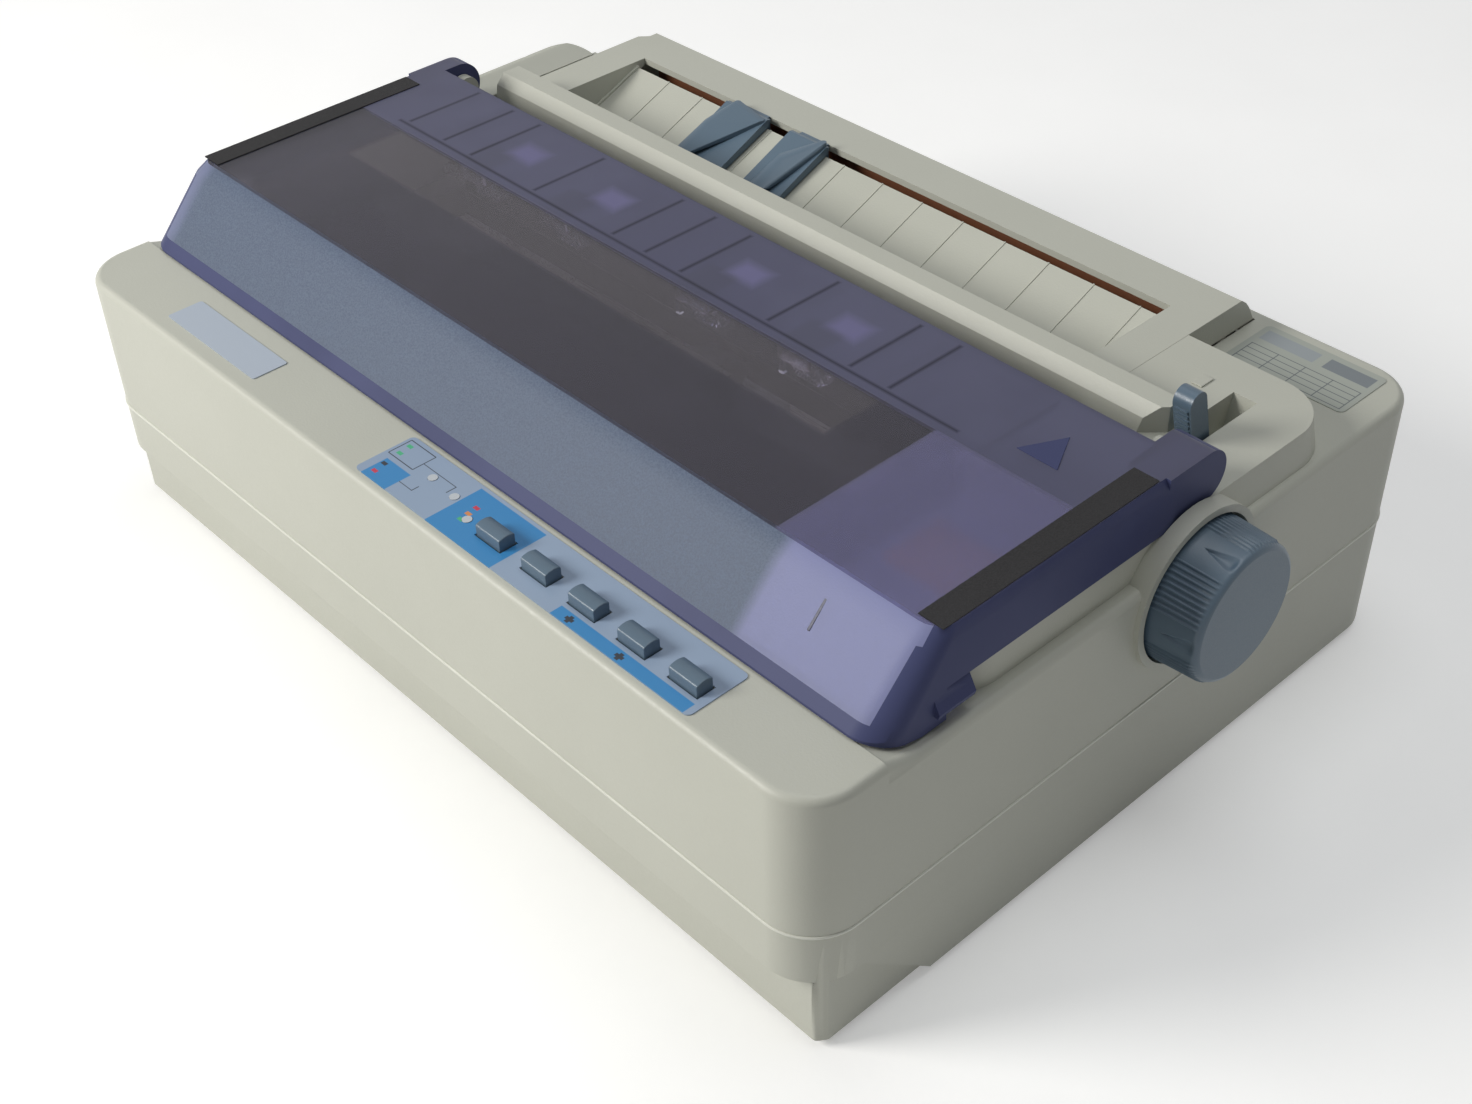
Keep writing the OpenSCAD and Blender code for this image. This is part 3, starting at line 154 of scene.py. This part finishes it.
def make_box_mask():
    """One inside a box on the X-Y plane, falling to zero over the soft edge; all in metres."""
    labels = [("Left", 0.0), ("Right", 1.0), ("Front", 0.0), ("Back", 1.0), ("Edge", 0.001)]
    group, given, result = new_group("box_mask", labels, ["Mask"])
    place = group.nodes.new("ShaderNodeTexCoord").outputs["Object"]
    split = group.nodes.new("ShaderNodeSeparateXYZ")
    group.links.new(place, split.inputs[0])
    total = None
    for axis, low, high in (("X", "Left", "Right"), ("Y", "Front", "Back")):
        above = math_node(group, "SUBTRACT", split.outputs[axis], given.outputs[low])
        below = math_node(group, "SUBTRACT", given.outputs[high], split.outputs[axis])
        inside = math_node(group, "MINIMUM", above, below)
        total = inside if total is None else math_node(group, "MINIMUM", total, inside)
    scaled = math_node(group, "DIVIDE", total, given.outputs["Edge"])
    node = group.nodes.new("ShaderNodeMath")
    node.operation = "ADD"
    node.use_clamp = True
    group.links.new(scaled, node.inputs[0])
    node.inputs[1].default_value = 0.5
    group.links.new(node.outputs[0], result.inputs["Mask"])
    return group


GRAIN = make_grain()
BRUSHED = make_brushed()
BOX_MASK = make_box_mask()


def use_group(tree, group, **inputs):
    node = tree.nodes.new("ShaderNodeGroup")
    node.node_tree = group
    for name, value in inputs.items():
        node.inputs[name].default_value = value
    return node


def blend_colour(tree, factor, first, second):
    node = tree.nodes.new("ShaderNodeMix")
    node.data_type = "RGBA"
    tree.links.new(factor, node.inputs[0])
    for place, value in ((node.inputs[6], first), (node.inputs[7], second)):
        if isinstance(value, bpy.types.NodeSocket):
            tree.links.new(value, place)
        else:
            place.default_value = value
    return node.outputs[2]


def start_material(name):
    material = bpy.data.materials.new(name)
    material.use_nodes = True
    tree = material.node_tree
    return material, tree, tree.nodes["Principled BSDF"]


def finish_surface(name, light, dark, rough, spread, scale, depth, metal=0.0, coat=0.0, group=None):
    """An opaque finish: two close tones, varied roughness and a bump from the chosen skin."""
    material, tree, shader = start_material(name)
    skin = use_group(tree, group or GRAIN, Scale=scale)
    tree.links.new(blend_colour(tree, skin.outputs["Tone"], dark, light), shader.inputs["Base Color"])
    tree.links.new(ramp(tree, skin.outputs["Height"], 0.3, 0.7, rough - spread, rough + spread),
                   shader.inputs["Roughness"])
    bump = add(tree, "ShaderNodeBump", Height=skin.outputs["Height"], Strength=1.0, Distance=depth)
    tree.links.new(bump.outputs[0], shader.inputs["Normal"])
    shader.inputs["Metallic"].default_value = metal
    shader.inputs["Coat Weight"].default_value = coat
    return material


CASE = finish_surface("case_plastic", srgb(192, 193, 181), srgb(187, 188, 176), 0.46, 0.06, 1100, 0.00006)
# The seam lip's finish is lighter than the case plastic: a painted highlight along the seam.
LIP_HIGHLIGHT = finish_surface("case_lip_painted_highlight", srgb(222, 223, 212), srgb(216, 217, 206), 0.4, 0.05, 1100, 0.00003)
BLUE = finish_surface("blue_grey_plastic", srgb(92, 112, 128), srgb(86, 105, 121), 0.34, 0.06, 1500, 0.00004)
BLACK = finish_surface("black_plastic", srgb(38, 37, 39), srgb(30, 29, 31), 0.42, 0.07, 1300, 0.00005)
FOAM = finish_surface("black_foam", srgb(34, 33, 35), srgb(24, 23, 25), 0.85, 0.08, 1800, 0.0003)
RUBBER = finish_surface("black_rubber", srgb(40, 40, 41), srgb(30, 30, 31), 0.7, 0.08, 900, 0.00008)
STEEL = finish_surface("zinc_steel", srgb(190, 190, 192), srgb(170, 171, 174), 0.3, 0.08, 60, 0.00002,
                       metal=1.0, group=BRUSHED)
GEAR = finish_surface("natural_nylon", srgb(232, 228, 214), srgb(222, 217, 202), 0.42, 0.06, 900, 0.00004)
DARK_METAL = finish_surface("black_lacquer", srgb(52, 52, 55), srgb(42, 42, 45), 0.4, 0.08, 700, 0.00006,
                            metal=0.3)
BRASS = finish_surface("turned_brass", srgb(214, 184, 110), srgb(196, 164, 92), 0.28, 0.07, 60, 0.00002,
                       metal=1.0, group=BRUSHED)
BOARD = finish_surface("circuit_board", srgb(42, 110, 70), srgb(30, 88, 54), 0.35, 0.08, 500, 0.00004, coat=0.3)


def add_patch(tree, below, left, right, front, back, colour, edge=0.0002):
    """Lays a box of colour, given in case millimetres, over the colour below it."""
    low, high = at(left, front, 0), at(right, back, 0)
    mask = use_group(tree, BOX_MASK, Left=low.x, Right=high.x, Front=low.y, Back=high.y, Edge=edge)
    return blend_colour(tree, mask.outputs[0], below, colour)


def make_printed(name, light, dark, rough, patches):
    """A printed film: two close tones of ground with boxes of other colours on it."""
    material, tree, shader = start_material(name)
    skin = use_group(tree, GRAIN, Scale=2500)
    colour = blend_colour(tree, skin.outputs["Tone"], dark, light)
    for patch in patches:
        colour = add_patch(tree, colour, *patch)
    tree.links.new(colour, shader.inputs["Base Color"])
    tree.links.new(ramp(tree, skin.outputs["Height"], 0.3, 0.7, rough, rough + 0.08),
                   shader.inputs["Roughness"])
    bump = add(tree, "ShaderNodeBump", Height=skin.outputs["Height"], Strength=1.0, Distance=0.00002)
    tree.links.new(bump.outputs[0], shader.inputs["Normal"])
    return material


SKY = srgb(58, 134, 190)
INK = srgb(46, 52, 62)
RED_INK = srgb(196, 62, 84)
GREEN_INK = srgb(76, 176, 128)
AMBER_INK = srgb(214, 140, 84)


def overlay_patches():
    """Blue fields, a framed lamp key and the small marks of the control panel."""
    patches = [(-15, -1, -152.2, -141, SKY), (22.3, 57.8, -152.2, -128.2, SKY), (89, 152, -152, -147, SKY)]
    for x, y in ((-17.5, -133.7), (-3.2, -133.7)):
        patches.append((x - 0.2, x + 0.2, y - 5, y + 5, INK))
    for y in (-138.7, -128.7):
        patches.append((-17.5, -3.2, y - 0.2, y + 0.2, INK))
    for x0, x1, y0, y1 in ((-3.2, 15.6, -134.1, -133.8), (15.4, 15.8, -138.2, -133.8), (-1, 6.2, -146, -145.7),
                           (6, 6.4, -146, -142.8)):
        patches.append((x0, x1, y0, y1, INK))
    for x, y, ink in ((-14.8, -131.4, GREEN_INK), (-14.2, -136.2, GREEN_INK), (-13.1, -143.5, INK),
                      (-12.1, -148.3, RED_INK), (29.8, -136, RED_INK), (30.3, -139.8, AMBER_INK),
                      (30.8, -143.4, GREEN_INK)):
        patches.append((x - 1.3, x + 1.3, y - 0.8, y + 0.8, ink))
    for x in (95.8, 120):
        patches.append((x - 1.8, x + 1.8, -150.2, -148.8, INK))
        patches.append((x - 0.8, x + 0.8, -151.2, -147.9, INK))
    return patches


def label_patches():
    """Ruled lines and boxes on the plain rating label at the back."""
    dark = srgb(96, 102, 106)
    patches = [(148.5, 195.5, 121.5 + 3.4 * i, 121.9 + 3.4 * i, dark) for i in range(5)]
    patches.append((148.5, 172, 139.5, 146.5, srgb(150, 157, 160)))
    patches.append((176, 195.5, 139.5, 146.5, srgb(120, 127, 131)))
    patches += [(148.5 + 11.75 * i, 148.9 + 11.75 * i, 121.5, 135.5, dark) for i in range(5)]
    patches.append((-152, -90, -148.5, -132.5, srgb(176, 186, 198)))
    return patches


FILM = make_printed("overlay_film", srgb(150, 168, 190), srgb(143, 161, 184), 0.3, overlay_patches())
LABEL = make_printed("label_film", srgb(170, 175, 166), srgb(164, 169, 160), 0.36, label_patches())
COPPER = make_printed("copper_lacquer", srgb(158, 104, 76), srgb(140, 90, 64), 0.35,
                      [(-180, -127, 110, 125, srgb(20, 19, 20)), (-60, -39, 110, 125, srgb(20, 19, 20))])
ORANGE = finish_surface("orange_paper", srgb(250, 168, 70), srgb(244, 156, 60), 0.6, 0.05, 1500, 0.00003)


def make_smoked(name, light, dark, rough, spread, depth, clearness, patches=(), variation="Tone", shine=0.5):
    """One zone of the smoked lid: tinted, more or less frosted, with boxes of another tone on it."""
    material, tree, shader = start_material(name)
    skin = use_group(tree, GRAIN, Scale=1500)
    colour = blend_colour(tree, ramp(tree, skin.outputs[variation], 0.38, 0.62), dark, light)
    roughness = ramp(tree, skin.outputs["Height"], 0.3, 0.7, rough - spread, rough + spread)
    height = skin.outputs["Height"]
    for left, right, front, back, tone, change, edge in patches:
        low, high = at(left, front, 0), at(right, back, 0)
        mask = use_group(tree, BOX_MASK, Left=low.x, Right=high.x, Front=low.y, Back=high.y, Edge=edge)
        colour = blend_colour(tree, mask.outputs[0], colour, tone)
        roughness = math_node(tree, "ADD", roughness, math_node(tree, "MULTIPLY", mask.outputs[0], change))
        if change < -0.15:
            height = math_node(tree, "MULTIPLY", height, math_node(tree, "SUBTRACT", 1.0, mask.outputs[0]))
    tree.links.new(colour, shader.inputs["Base Color"])
    tree.links.new(roughness, shader.inputs["Roughness"])
    bump = add(tree, "ShaderNodeBump", Height=height, Strength=1.0, Distance=depth)
    tree.links.new(bump.outputs[0], shader.inputs["Normal"])
    shader.inputs["Transmission Weight"].default_value = clearness
    shader.inputs["IOR"].default_value = 1.35
    shader.inputs["Specular IOR Level"].default_value = shine
    return material


def make_clear(name, tint, rough):
    material, tree, shader = start_material(name)
    skin = use_group(tree, GRAIN, Scale=600)
    tree.links.new(blend_colour(tree, skin.outputs["Tone"], tint, srgb(235, 238, 245)),
                   shader.inputs["Base Color"])
    tree.links.new(ramp(tree, skin.outputs["Height"], 0.3, 0.7, rough, rough + 0.05),
                   shader.inputs["Roughness"])
    shader.inputs["Transmission Weight"].default_value = 0.92
    shader.inputs["IOR"].default_value = 1.4
    return material


WINDOW = (-163.5, 109.5, -51, -25, srgb(190, 184, 196), -0.23, 0.0008)
RIGHT_END = (141, 205, -130, -80, srgb(158, 163, 205), 0.0, 0.005)
LEFT_END = (-206, -193, -130, -80, srgb(146, 154, 190), 0.0, 0.006)
LID_RIBS = (-168, -144.5, -126.5, -85.3, -37.7, -19, 0.7, 47.2, 87.9, 106.4)
RIB_PATCHES = tuple((x - 0.3, x + 1.3, -17.6, 18.4, srgb(58, 58, 82), 0.0, 0.0012) for x in LID_RIBS)
PALE_PATCHES = tuple((x - 7, x + 7, -6, 5, srgb(146, 143, 188), 0.05, 0.005) for x in (-109.5, -57, 20.4, 72))
LONG_RIB = ((-172, 140, -20.4, -19, srgb(58, 58, 82), 0.0, 0.0012),)
SMOKED = make_smoked("smoked_top", srgb(158, 154, 174), srgb(150, 146, 166), 0.24, 0.03, 0.000004, 0.93,
                     (WINDOW,))
SMOKED_REAR = make_smoked("smoked_rear", srgb(118, 119, 150), srgb(112, 113, 144), 0.36, 0.02, 0.000001, 0.6,
                          RIB_PATCHES + PALE_PATCHES + LONG_RIB)
SMOKED_SLOPE = make_smoked("smoked_slope", srgb(118, 134, 158), srgb(96, 110, 136), 0.5, 0.05, 0.00007, 0.45,
                           (RIGHT_END, LEFT_END), "Height")
SMOKED_RIM = make_smoked("smoked_rim", srgb(78, 83, 120), srgb(72, 77, 113), 0.42, 0.01, 0.000002, 0.12,
                         shine=0.15)
# A lighter, more diffuse copy of the smoked top for its right field: painted light, as the top is one moulding.
SMOKED_RIGHT_LIT = make_smoked("smoked_right_painted_light", srgb(158, 156, 198), srgb(152, 150, 192), 0.2, 0.02, 0.000001, 0.72)
STOP_RIB = finish_surface("stop_rib", srgb(74, 76, 96), srgb(68, 70, 90), 0.5, 0.05, 900, 0.00003)
MILKY = finish_surface("milky_plastic", srgb(196, 202, 206), srgb(188, 194, 198), 0.3, 0.05, 900, 0.00003)
CLEAR = make_clear("clear_plastic", srgb(214, 218, 236), 0.04)

SLOT_FINISH = {
    "case_plastic": CASE, "smoked_plastic": SMOKED, "clear_plastic": CLEAR, "blue_plastic": BLUE,
    "black_plastic": BLACK, "foam": FOAM, "rubber": RUBBER, "steel": STEEL, "copper_plate": COPPER,
    "gear_plastic": GEAR, "dark_metal": DARK_METAL, "brass": BRASS, "circuit": BOARD,
    "overlay_film": FILM, "label_film": LABEL, "orange_label": ORANGE,
}
NODE_FINISH = {"status_lenses": MILKY}
for node_name, node_object in NODES.items():
    for place in node_object.material_slots:
        place.material = NODE_FINISH.get(node_name, SLOT_FINISH[SLOT_OF[node_name]])


# ---------------------------------------------------------------- pieces

SHARP_ANGLE = math.radians(30)
FLAT_ANGLE = math.radians(0.8)
WELD_DISTANCE = 2e-6


def round_edges(piece, width, segments):
    """Rounds the sharp edges by width millimetres."""
    bevel = piece.modifiers.new("edges", "BEVEL")
    bevel.width = width * MM
    bevel.segments = segments
    bevel.limit_method = "ANGLE"
    bevel.angle_limit = SHARP_ANGLE
    return bevel


def even_shading(piece):
    normals = piece.modifiers.new("normals", "WEIGHTED_NORMAL")
    normals.keep_sharp = True


def softened(node, width, segments=2):
    """A finely shaped piece that stands for a node; a width of nought keeps its sharp edges."""
    mesh = NODES[node].data.copy()
    piece = bpy.data.objects.new(node + "_shaped", mesh)
    bpy.context.collection.objects.link(piece)
    shape = bmesh.new()
    shape.from_mesh(mesh)
    bmesh.ops.remove_doubles(shape, verts=shape.verts, dist=WELD_DISTANCE)
    bmesh.ops.dissolve_limit(shape, angle_limit=FLAT_ANGLE, verts=shape.verts, edges=shape.edges)
    shape.to_mesh(mesh)
    shape.free()
    for face in mesh.polygons:
        face.use_smooth = True
    if width:
        round_edges(piece, width, segments).miter_outer = "MITER_ARC"
    else:
        mesh.set_sharp_from_angle(angle=SHARP_ANGLE)
    even_shading(piece)
    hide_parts(node)
    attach(piece, BODY_OF[node])
    return piece


for node_name, edge in (("upper_case", 0.5), ("lower_case", 0), ("sheet_cover", 0.5), ("exit_bar", 0.8),
                        ("left_guide", 0.6), ("right_guide", 0.6), ("release_lever", 0),
                        ("button_1", 0.4), ("button_2", 0.4), ("button_3", 0.4), ("button_4", 0.4),
                        ("button_5", 0.4)):
    softened(node_name, edge)


REAR_STRIP_Y = -24
CREASE_Y = -92
RIGHT_FIELD_X = 134
RIM_Z = 117.2
LID_TOP_Z = 119


def zone_lid(piece):
    """Cuts the lid's faces at the borders of its zones and gives each zone its own finish; the right field of
    the top gets a lighter copy of the smoked top that paints light there.
    """
    for material in (SMOKED_SLOPE, SMOKED_RIM, SMOKED_REAR, SMOKED_RIGHT_LIT):
        piece.data.materials.append(material)
    rear, crease, right = at(0, REAR_STRIP_Y, 0), at(0, CREASE_Y, 0), at(RIGHT_FIELD_X, 0, 0)
    rim, top = at(0, 0, RIM_Z), at(0, 0, LID_TOP_Z)
    shape = bmesh.new()
    shape.from_mesh(piece.data)
    for place, way in ((rear, (0, 1, 0)), (right, (1, 0, 0)), (rim, (0, 0, 1))):
        bmesh.ops.bisect_plane(shape, geom=shape.verts[:] + shape.edges[:] + shape.faces[:], plane_co=place,
                               plane_no=way, dist=1e-6)
    for face in shape.faces:
        lean, middle = abs(face.normal.z), face.calc_center_median()
        if lean >= 0.97 and middle.z > top.z:
            # Top faces: the rear strip, the right field in its painted-light copy, and the rest.
            face.material_index = 3 if middle.y > rear.y else 4 if middle.x > right.x else 0
        elif abs(face.normal.x) < 0.3 and lean > 0.5 and middle.y < crease.y and middle.z > rim.z:
            face.material_index = 1
        else:
            face.material_index = 2
    shape.to_mesh(piece.data)
    shape.free()


zone_lid(softened("access_lid", 0.8, 3))


def stand_on(name, mesh, body, material, bevel_width=0.0):
    """Links a new mesh piece, rounds its edges and lets it ride on a body."""
    piece = bpy.data.objects.new(name, mesh)
    bpy.context.collection.objects.link(piece)
    mesh.materials.append(material)
    if bevel_width:
        round_edges(piece, bevel_width, 2)
        even_shading(piece)
    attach(piece, body)
    return piece


def extruded(name, outline, rise):
    """A closed mesh from an outline of case points, pushed along rise, in millimetres."""
    mesh = bpy.data.meshes.new(name)
    shape = bmesh.new()
    base = [shape.verts.new(at(*point)) for point in outline]
    face = shape.faces.new(base)
    grown = bmesh.ops.extrude_face_region(shape, geom=[face])
    moved = [item for item in grown["geom"] if isinstance(item, bmesh.types.BMVert)]
    bmesh.ops.translate(shape, verts=moved, vec=Vector(rise) * MM)
    bmesh.ops.recalc_face_normals(shape, faces=shape.faces)
    shape.to_mesh(mesh)
    shape.free()
    return mesh


KNOB_RADIUS = 26.7
KNOB_TAPER = 1.2
KNOB_ROUNDING = 1.9
KNOB_SECTOR = 72.0
KNOB_PITCH = 4.2
KNOB_RIB = 0.75
KNOB_DENT = 0.9
KNOB_STEPS = 900
KNOB_ROWS = 34


def make_knob():
    """The platen knob: groups of fine ribs, and a pointed dent in each smooth stretch between them."""
    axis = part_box("platen_knob")
    start, end = axis[0][0], axis[1][0]
    centre = at(0, 21, 93.4)
    reach = end - start
    mesh = bpy.data.meshes.new("knob")
    shape = bmesh.new()
    rings = []
    for row in range(KNOB_ROWS + 1):
        along = row / KNOB_ROWS
        radius = KNOB_RADIUS - KNOB_TAPER * along
        if along > 0.9:
            turn = (along - 0.9) / 0.1
            radius -= KNOB_ROUNDING * (1 - math.sqrt(max(0.0, 1 - turn * turn)))
        ring = []
        for step in range(KNOB_STEPS):
            angle = 360.0 * step / KNOB_STEPS
            local = (angle + KNOB_SECTOR / 2) % KNOB_SECTOR - KNOB_SECTOR / 2
            height = 0.0
            if abs(local) < 5 * KNOB_PITCH:
                wave = math.cos(math.radians(360 * (local / KNOB_PITCH - 0.5)))
                fade = min(1.0, (0.93 - along) / 0.05) if along < 0.93 else 0.0
                height = KNOB_RIB * max(0.0, wave) ** 0.7 * fade
            else:
                side = KNOB_SECTOR / 2 - abs(local)
                width = 6.5 * max(0.0, min(1.0, (along - 0.42) / 0.4))
                if width > 0 and side < width and along < 0.93:
                    height = -KNOB_DENT * (1 - (side / width) ** 2) * min(1.0, (0.93 - along) / 0.06)
            turned = math.radians(angle)
            out = (radius + height) * MM
            ring.append(shape.verts.new((start + reach * along, centre.y + out * math.cos(turned),
                                         centre.z + out * math.sin(turned))))
        rings.append(ring)
    for first, second in zip(rings, rings[1:]):
        for step in range(KNOB_STEPS):
            after = (step + 1) % KNOB_STEPS
            shape.faces.new((first[step], first[after], second[after], second[step]))
    shape.faces.new(rings[0])
    shape.faces.new(reversed(rings[-1]))
    bmesh.ops.recalc_face_normals(shape, faces=shape.faces)
    for face in shape.faces:
        face.smooth = len(face.verts) == 4
    shape.to_mesh(mesh)
    shape.free()
    knob = stand_on("ribbed_knob", mesh, BODY_OF["platen_knob"], BLUE)
    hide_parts("platen_knob")


def make_lid_details():
    """Ribs under the rear strip, the moulded arrow and the stop rib on the slope."""
    body, slot = BODY_OF["access_lid"], SLOT_OF["access_lid"]
    for index, x in enumerate(LID_RIBS):
        outline = [(x, -17.6, 138.7), (x + 1, -17.6, 138.7), (x + 1, 18.4, 138.7), (x, 18.4, 138.7)]
        stand_on(f"lid_rib_{index + 1}", extruded("lid_rib", outline, (0, 0, -4)), body, SMOKED_RIM, 0.2)
    edge = [(-172, -20.2, 138.7), (140, -20.2, 138.7), (140, -19, 138.7), (-172, -19, 138.7)]
    stand_on("lid_long_rib", extruded("lid_rib", edge, (0, 0, -3)), body, SMOKED_RIM, 0.2)
    arrow = [(159, -13, 140.9), (176, -13, 140.9), (167.5, 3.5, 140.9)]
    stand_on("lid_arrow", extruded("lid_arrow", arrow, (0, 0, 0.35)), body, SMOKED_RIM, 0.15)
    stop = [(163.5, -111.5, 127.1), (164.6, -111.5, 127.1), (164.6, -103.4, 135.4), (163.5, -103.4, 135.4)]
    stand_on("slope_rib", extruded("slope_rib", stop, (0, -0.3, 0.3)), body, STOP_RIB, 0.15)


def make_case_details():
    """The raised bar beside the release lever."""
    mark = [(159, 82, 120), (163.6, 82, 120), (163.6, 89, 120), (159, 89, 120)]
    stand_on("lever_mark", extruded("lever_mark", mark, (0, 0, 0.6)), BODY_OF["upper_case"],
             CASE, 0.25)


SEAM_REACH = (210.05, 156.05)
SEAM_CORNER = 20
SEAM_Z = 53
SEAM_OUT = 0.42
SEAM_RISE = 0.6


def make_seam():
    """The fine raised lip that runs round the case where its two halves meet; its lighter finish paints a
    highlight along it.
    """
    reach_x, reach_y = SEAM_REACH
    path = []
    for turn, (side_x, side_y) in enumerate(((1, 1), (-1, 1), (-1, -1), (1, -1))):
        for step in range(13):
            angle = math.radians(90 * turn + 7.5 * step)
            out = Vector((math.cos(angle), math.sin(angle), 0))
            centre = Vector((side_x * (reach_x - SEAM_CORNER), side_y * (reach_y - SEAM_CORNER), SEAM_Z))
            path.append((centre + out * SEAM_CORNER, out))
    mesh = bpy.data.meshes.new("seam_lip")
    shape = bmesh.new()
    rings = []
    for place, out in path:
        ring = []
        for step in range(8):
            angle = math.tau * step / 8
            spot = place + out * (SEAM_OUT * math.cos(angle)) + Vector((0, 0, SEAM_RISE * math.sin(angle)))
            ring.append(shape.verts.new(at(*spot)))
        rings.append(ring)
    for first, second in zip(rings, rings[1:] + rings[:1]):
        for step in range(8):
            after = (step + 1) % 8
            shape.faces.new((first[step], second[step], second[after], first[after]))
    bmesh.ops.recalc_face_normals(shape, faces=shape.faces)
    for face in shape.faces:
        face.smooth = True
    shape.to_mesh(mesh)
    shape.free()
    stand_on("seam_lip", mesh, BODY_OF["upper_case"], LIP_HIGHLIGHT)


make_knob()
make_lid_details()
make_case_details()
make_seam()


# ---------------------------------------------------------------- studio

def seen_rays(tree):
    """One for a ray from the camera, off a shiny surface or through a clear one, and nought for the rest."""
    path = tree.nodes.new("ShaderNodeLightPath")
    total = math_node(tree, "ADD", path.outputs["Is Camera Ray"], path.outputs["Is Glossy Ray"])
    return math_node(tree, "MINIMUM", math_node(tree, "ADD", total, path.outputs["Is Transmission Ray"]), 1.0)


FLOOR_REACH = 4.0
FLOOR_LIFT = 0.28
ROOM_LEVEL = 0.26
ROOM_LIFT = 0.5
ROOM_TINT = (0.62, 0.63, 0.66, 1)
BACKDROP_TINT = (0.9, 0.9, 0.89, 1)


def make_studio():
    """A pale floor and a pale room; both look brighter where they are seen than where they only light."""
    mesh = bpy.data.meshes.new("floor")
    reach = FLOOR_REACH
    mesh.from_pydata([(-reach, -reach, 0), (reach, -reach, 0), (reach, reach, 0), (-reach, reach, 0)], [],
                     [(0, 1, 2, 3)])
    floor = bpy.data.objects.new("floor", mesh)
    bpy.context.collection.objects.link(floor)
    paint = finish_surface("pale_floor", srgb(244, 244, 242), srgb(240, 240, 238), 0.85, 0.05, 200, 0.00005)
    shader = paint.node_tree.nodes["Principled BSDF"]
    shader.inputs["Emission Color"].default_value = (1, 1, 1, 1)
    lift = math_node(paint.node_tree, "MULTIPLY", seen_rays(paint.node_tree), FLOOR_LIFT)
    paint.node_tree.links.new(lift, shader.inputs["Emission Strength"])
    floor.data.materials.append(paint)
    world = bpy.data.worlds.new("studio")
    bpy.context.scene.world = world
    world.use_nodes = True
    tree = world.node_tree
    shader = tree.nodes["Background"]
    seen = seen_rays(tree)
    tree.links.new(blend_colour(tree, seen, ROOM_TINT, BACKDROP_TINT), shader.inputs["Color"])
    strength = math_node(tree, "ADD", math_node(tree, "MULTIPLY", seen, ROOM_LIFT), ROOM_LEVEL)
    tree.links.new(strength, shader.inputs["Strength"])


def add_light(name, place, target, size, power, tint):
    lamp = bpy.data.lights.new(name, "AREA")
    lamp.shape = "DISK"
    lamp.size = size
    lamp.energy = power
    lamp.color = tint
    light = bpy.data.objects.new(name, lamp)
    light.location = place
    light.rotation_euler = (Vector(target) - Vector(place)).to_track_quat("-Z", "Y").to_euler()
    bpy.context.collection.objects.link(light)


def add_camera():
    azimuth, elevation, roll = (math.radians(v) for v in (CAMERA_AZIMUTH, CAMERA_ELEVATION, CAMERA_ROLL))
    back = Vector((math.sin(azimuth) * math.cos(elevation), -math.cos(azimuth) * math.cos(elevation),
                   math.sin(elevation)))
    right = Vector((math.cos(azimuth), math.sin(azimuth), 0))
    up = back.cross(right)
    turned_right = right * math.cos(roll) + up * math.sin(roll)
    turned_up = up * math.cos(roll) - right * math.sin(roll)
    camera = bpy.data.cameras.new("camera")
    camera.lens = CAMERA_LENS
    camera.sensor_width = 36
    camera.clip_start = 0.02
    holder = bpy.data.objects.new("camera", camera)
    turn = Matrix((turned_right, turned_up, back)).transposed().to_4x4()
    holder.matrix_world = Matrix.Translation(at(*CAMERA_PLACE)) @ turn
    bpy.context.collection.objects.link(holder)
    bpy.context.scene.camera = holder


make_studio()
add_light("key", (-1.0, -1.5, 1.15), (0, 0, 0.06), 0.9, 34, (1.0, 0.98, 0.95))
add_light("top", (0.1, 0.3, 1.7), (0, 0, 0.1), 1.2, 8, (0.96, 0.98, 1.0))
add_camera()
bpy.context.scene.view_settings.view_transform = "Standard"
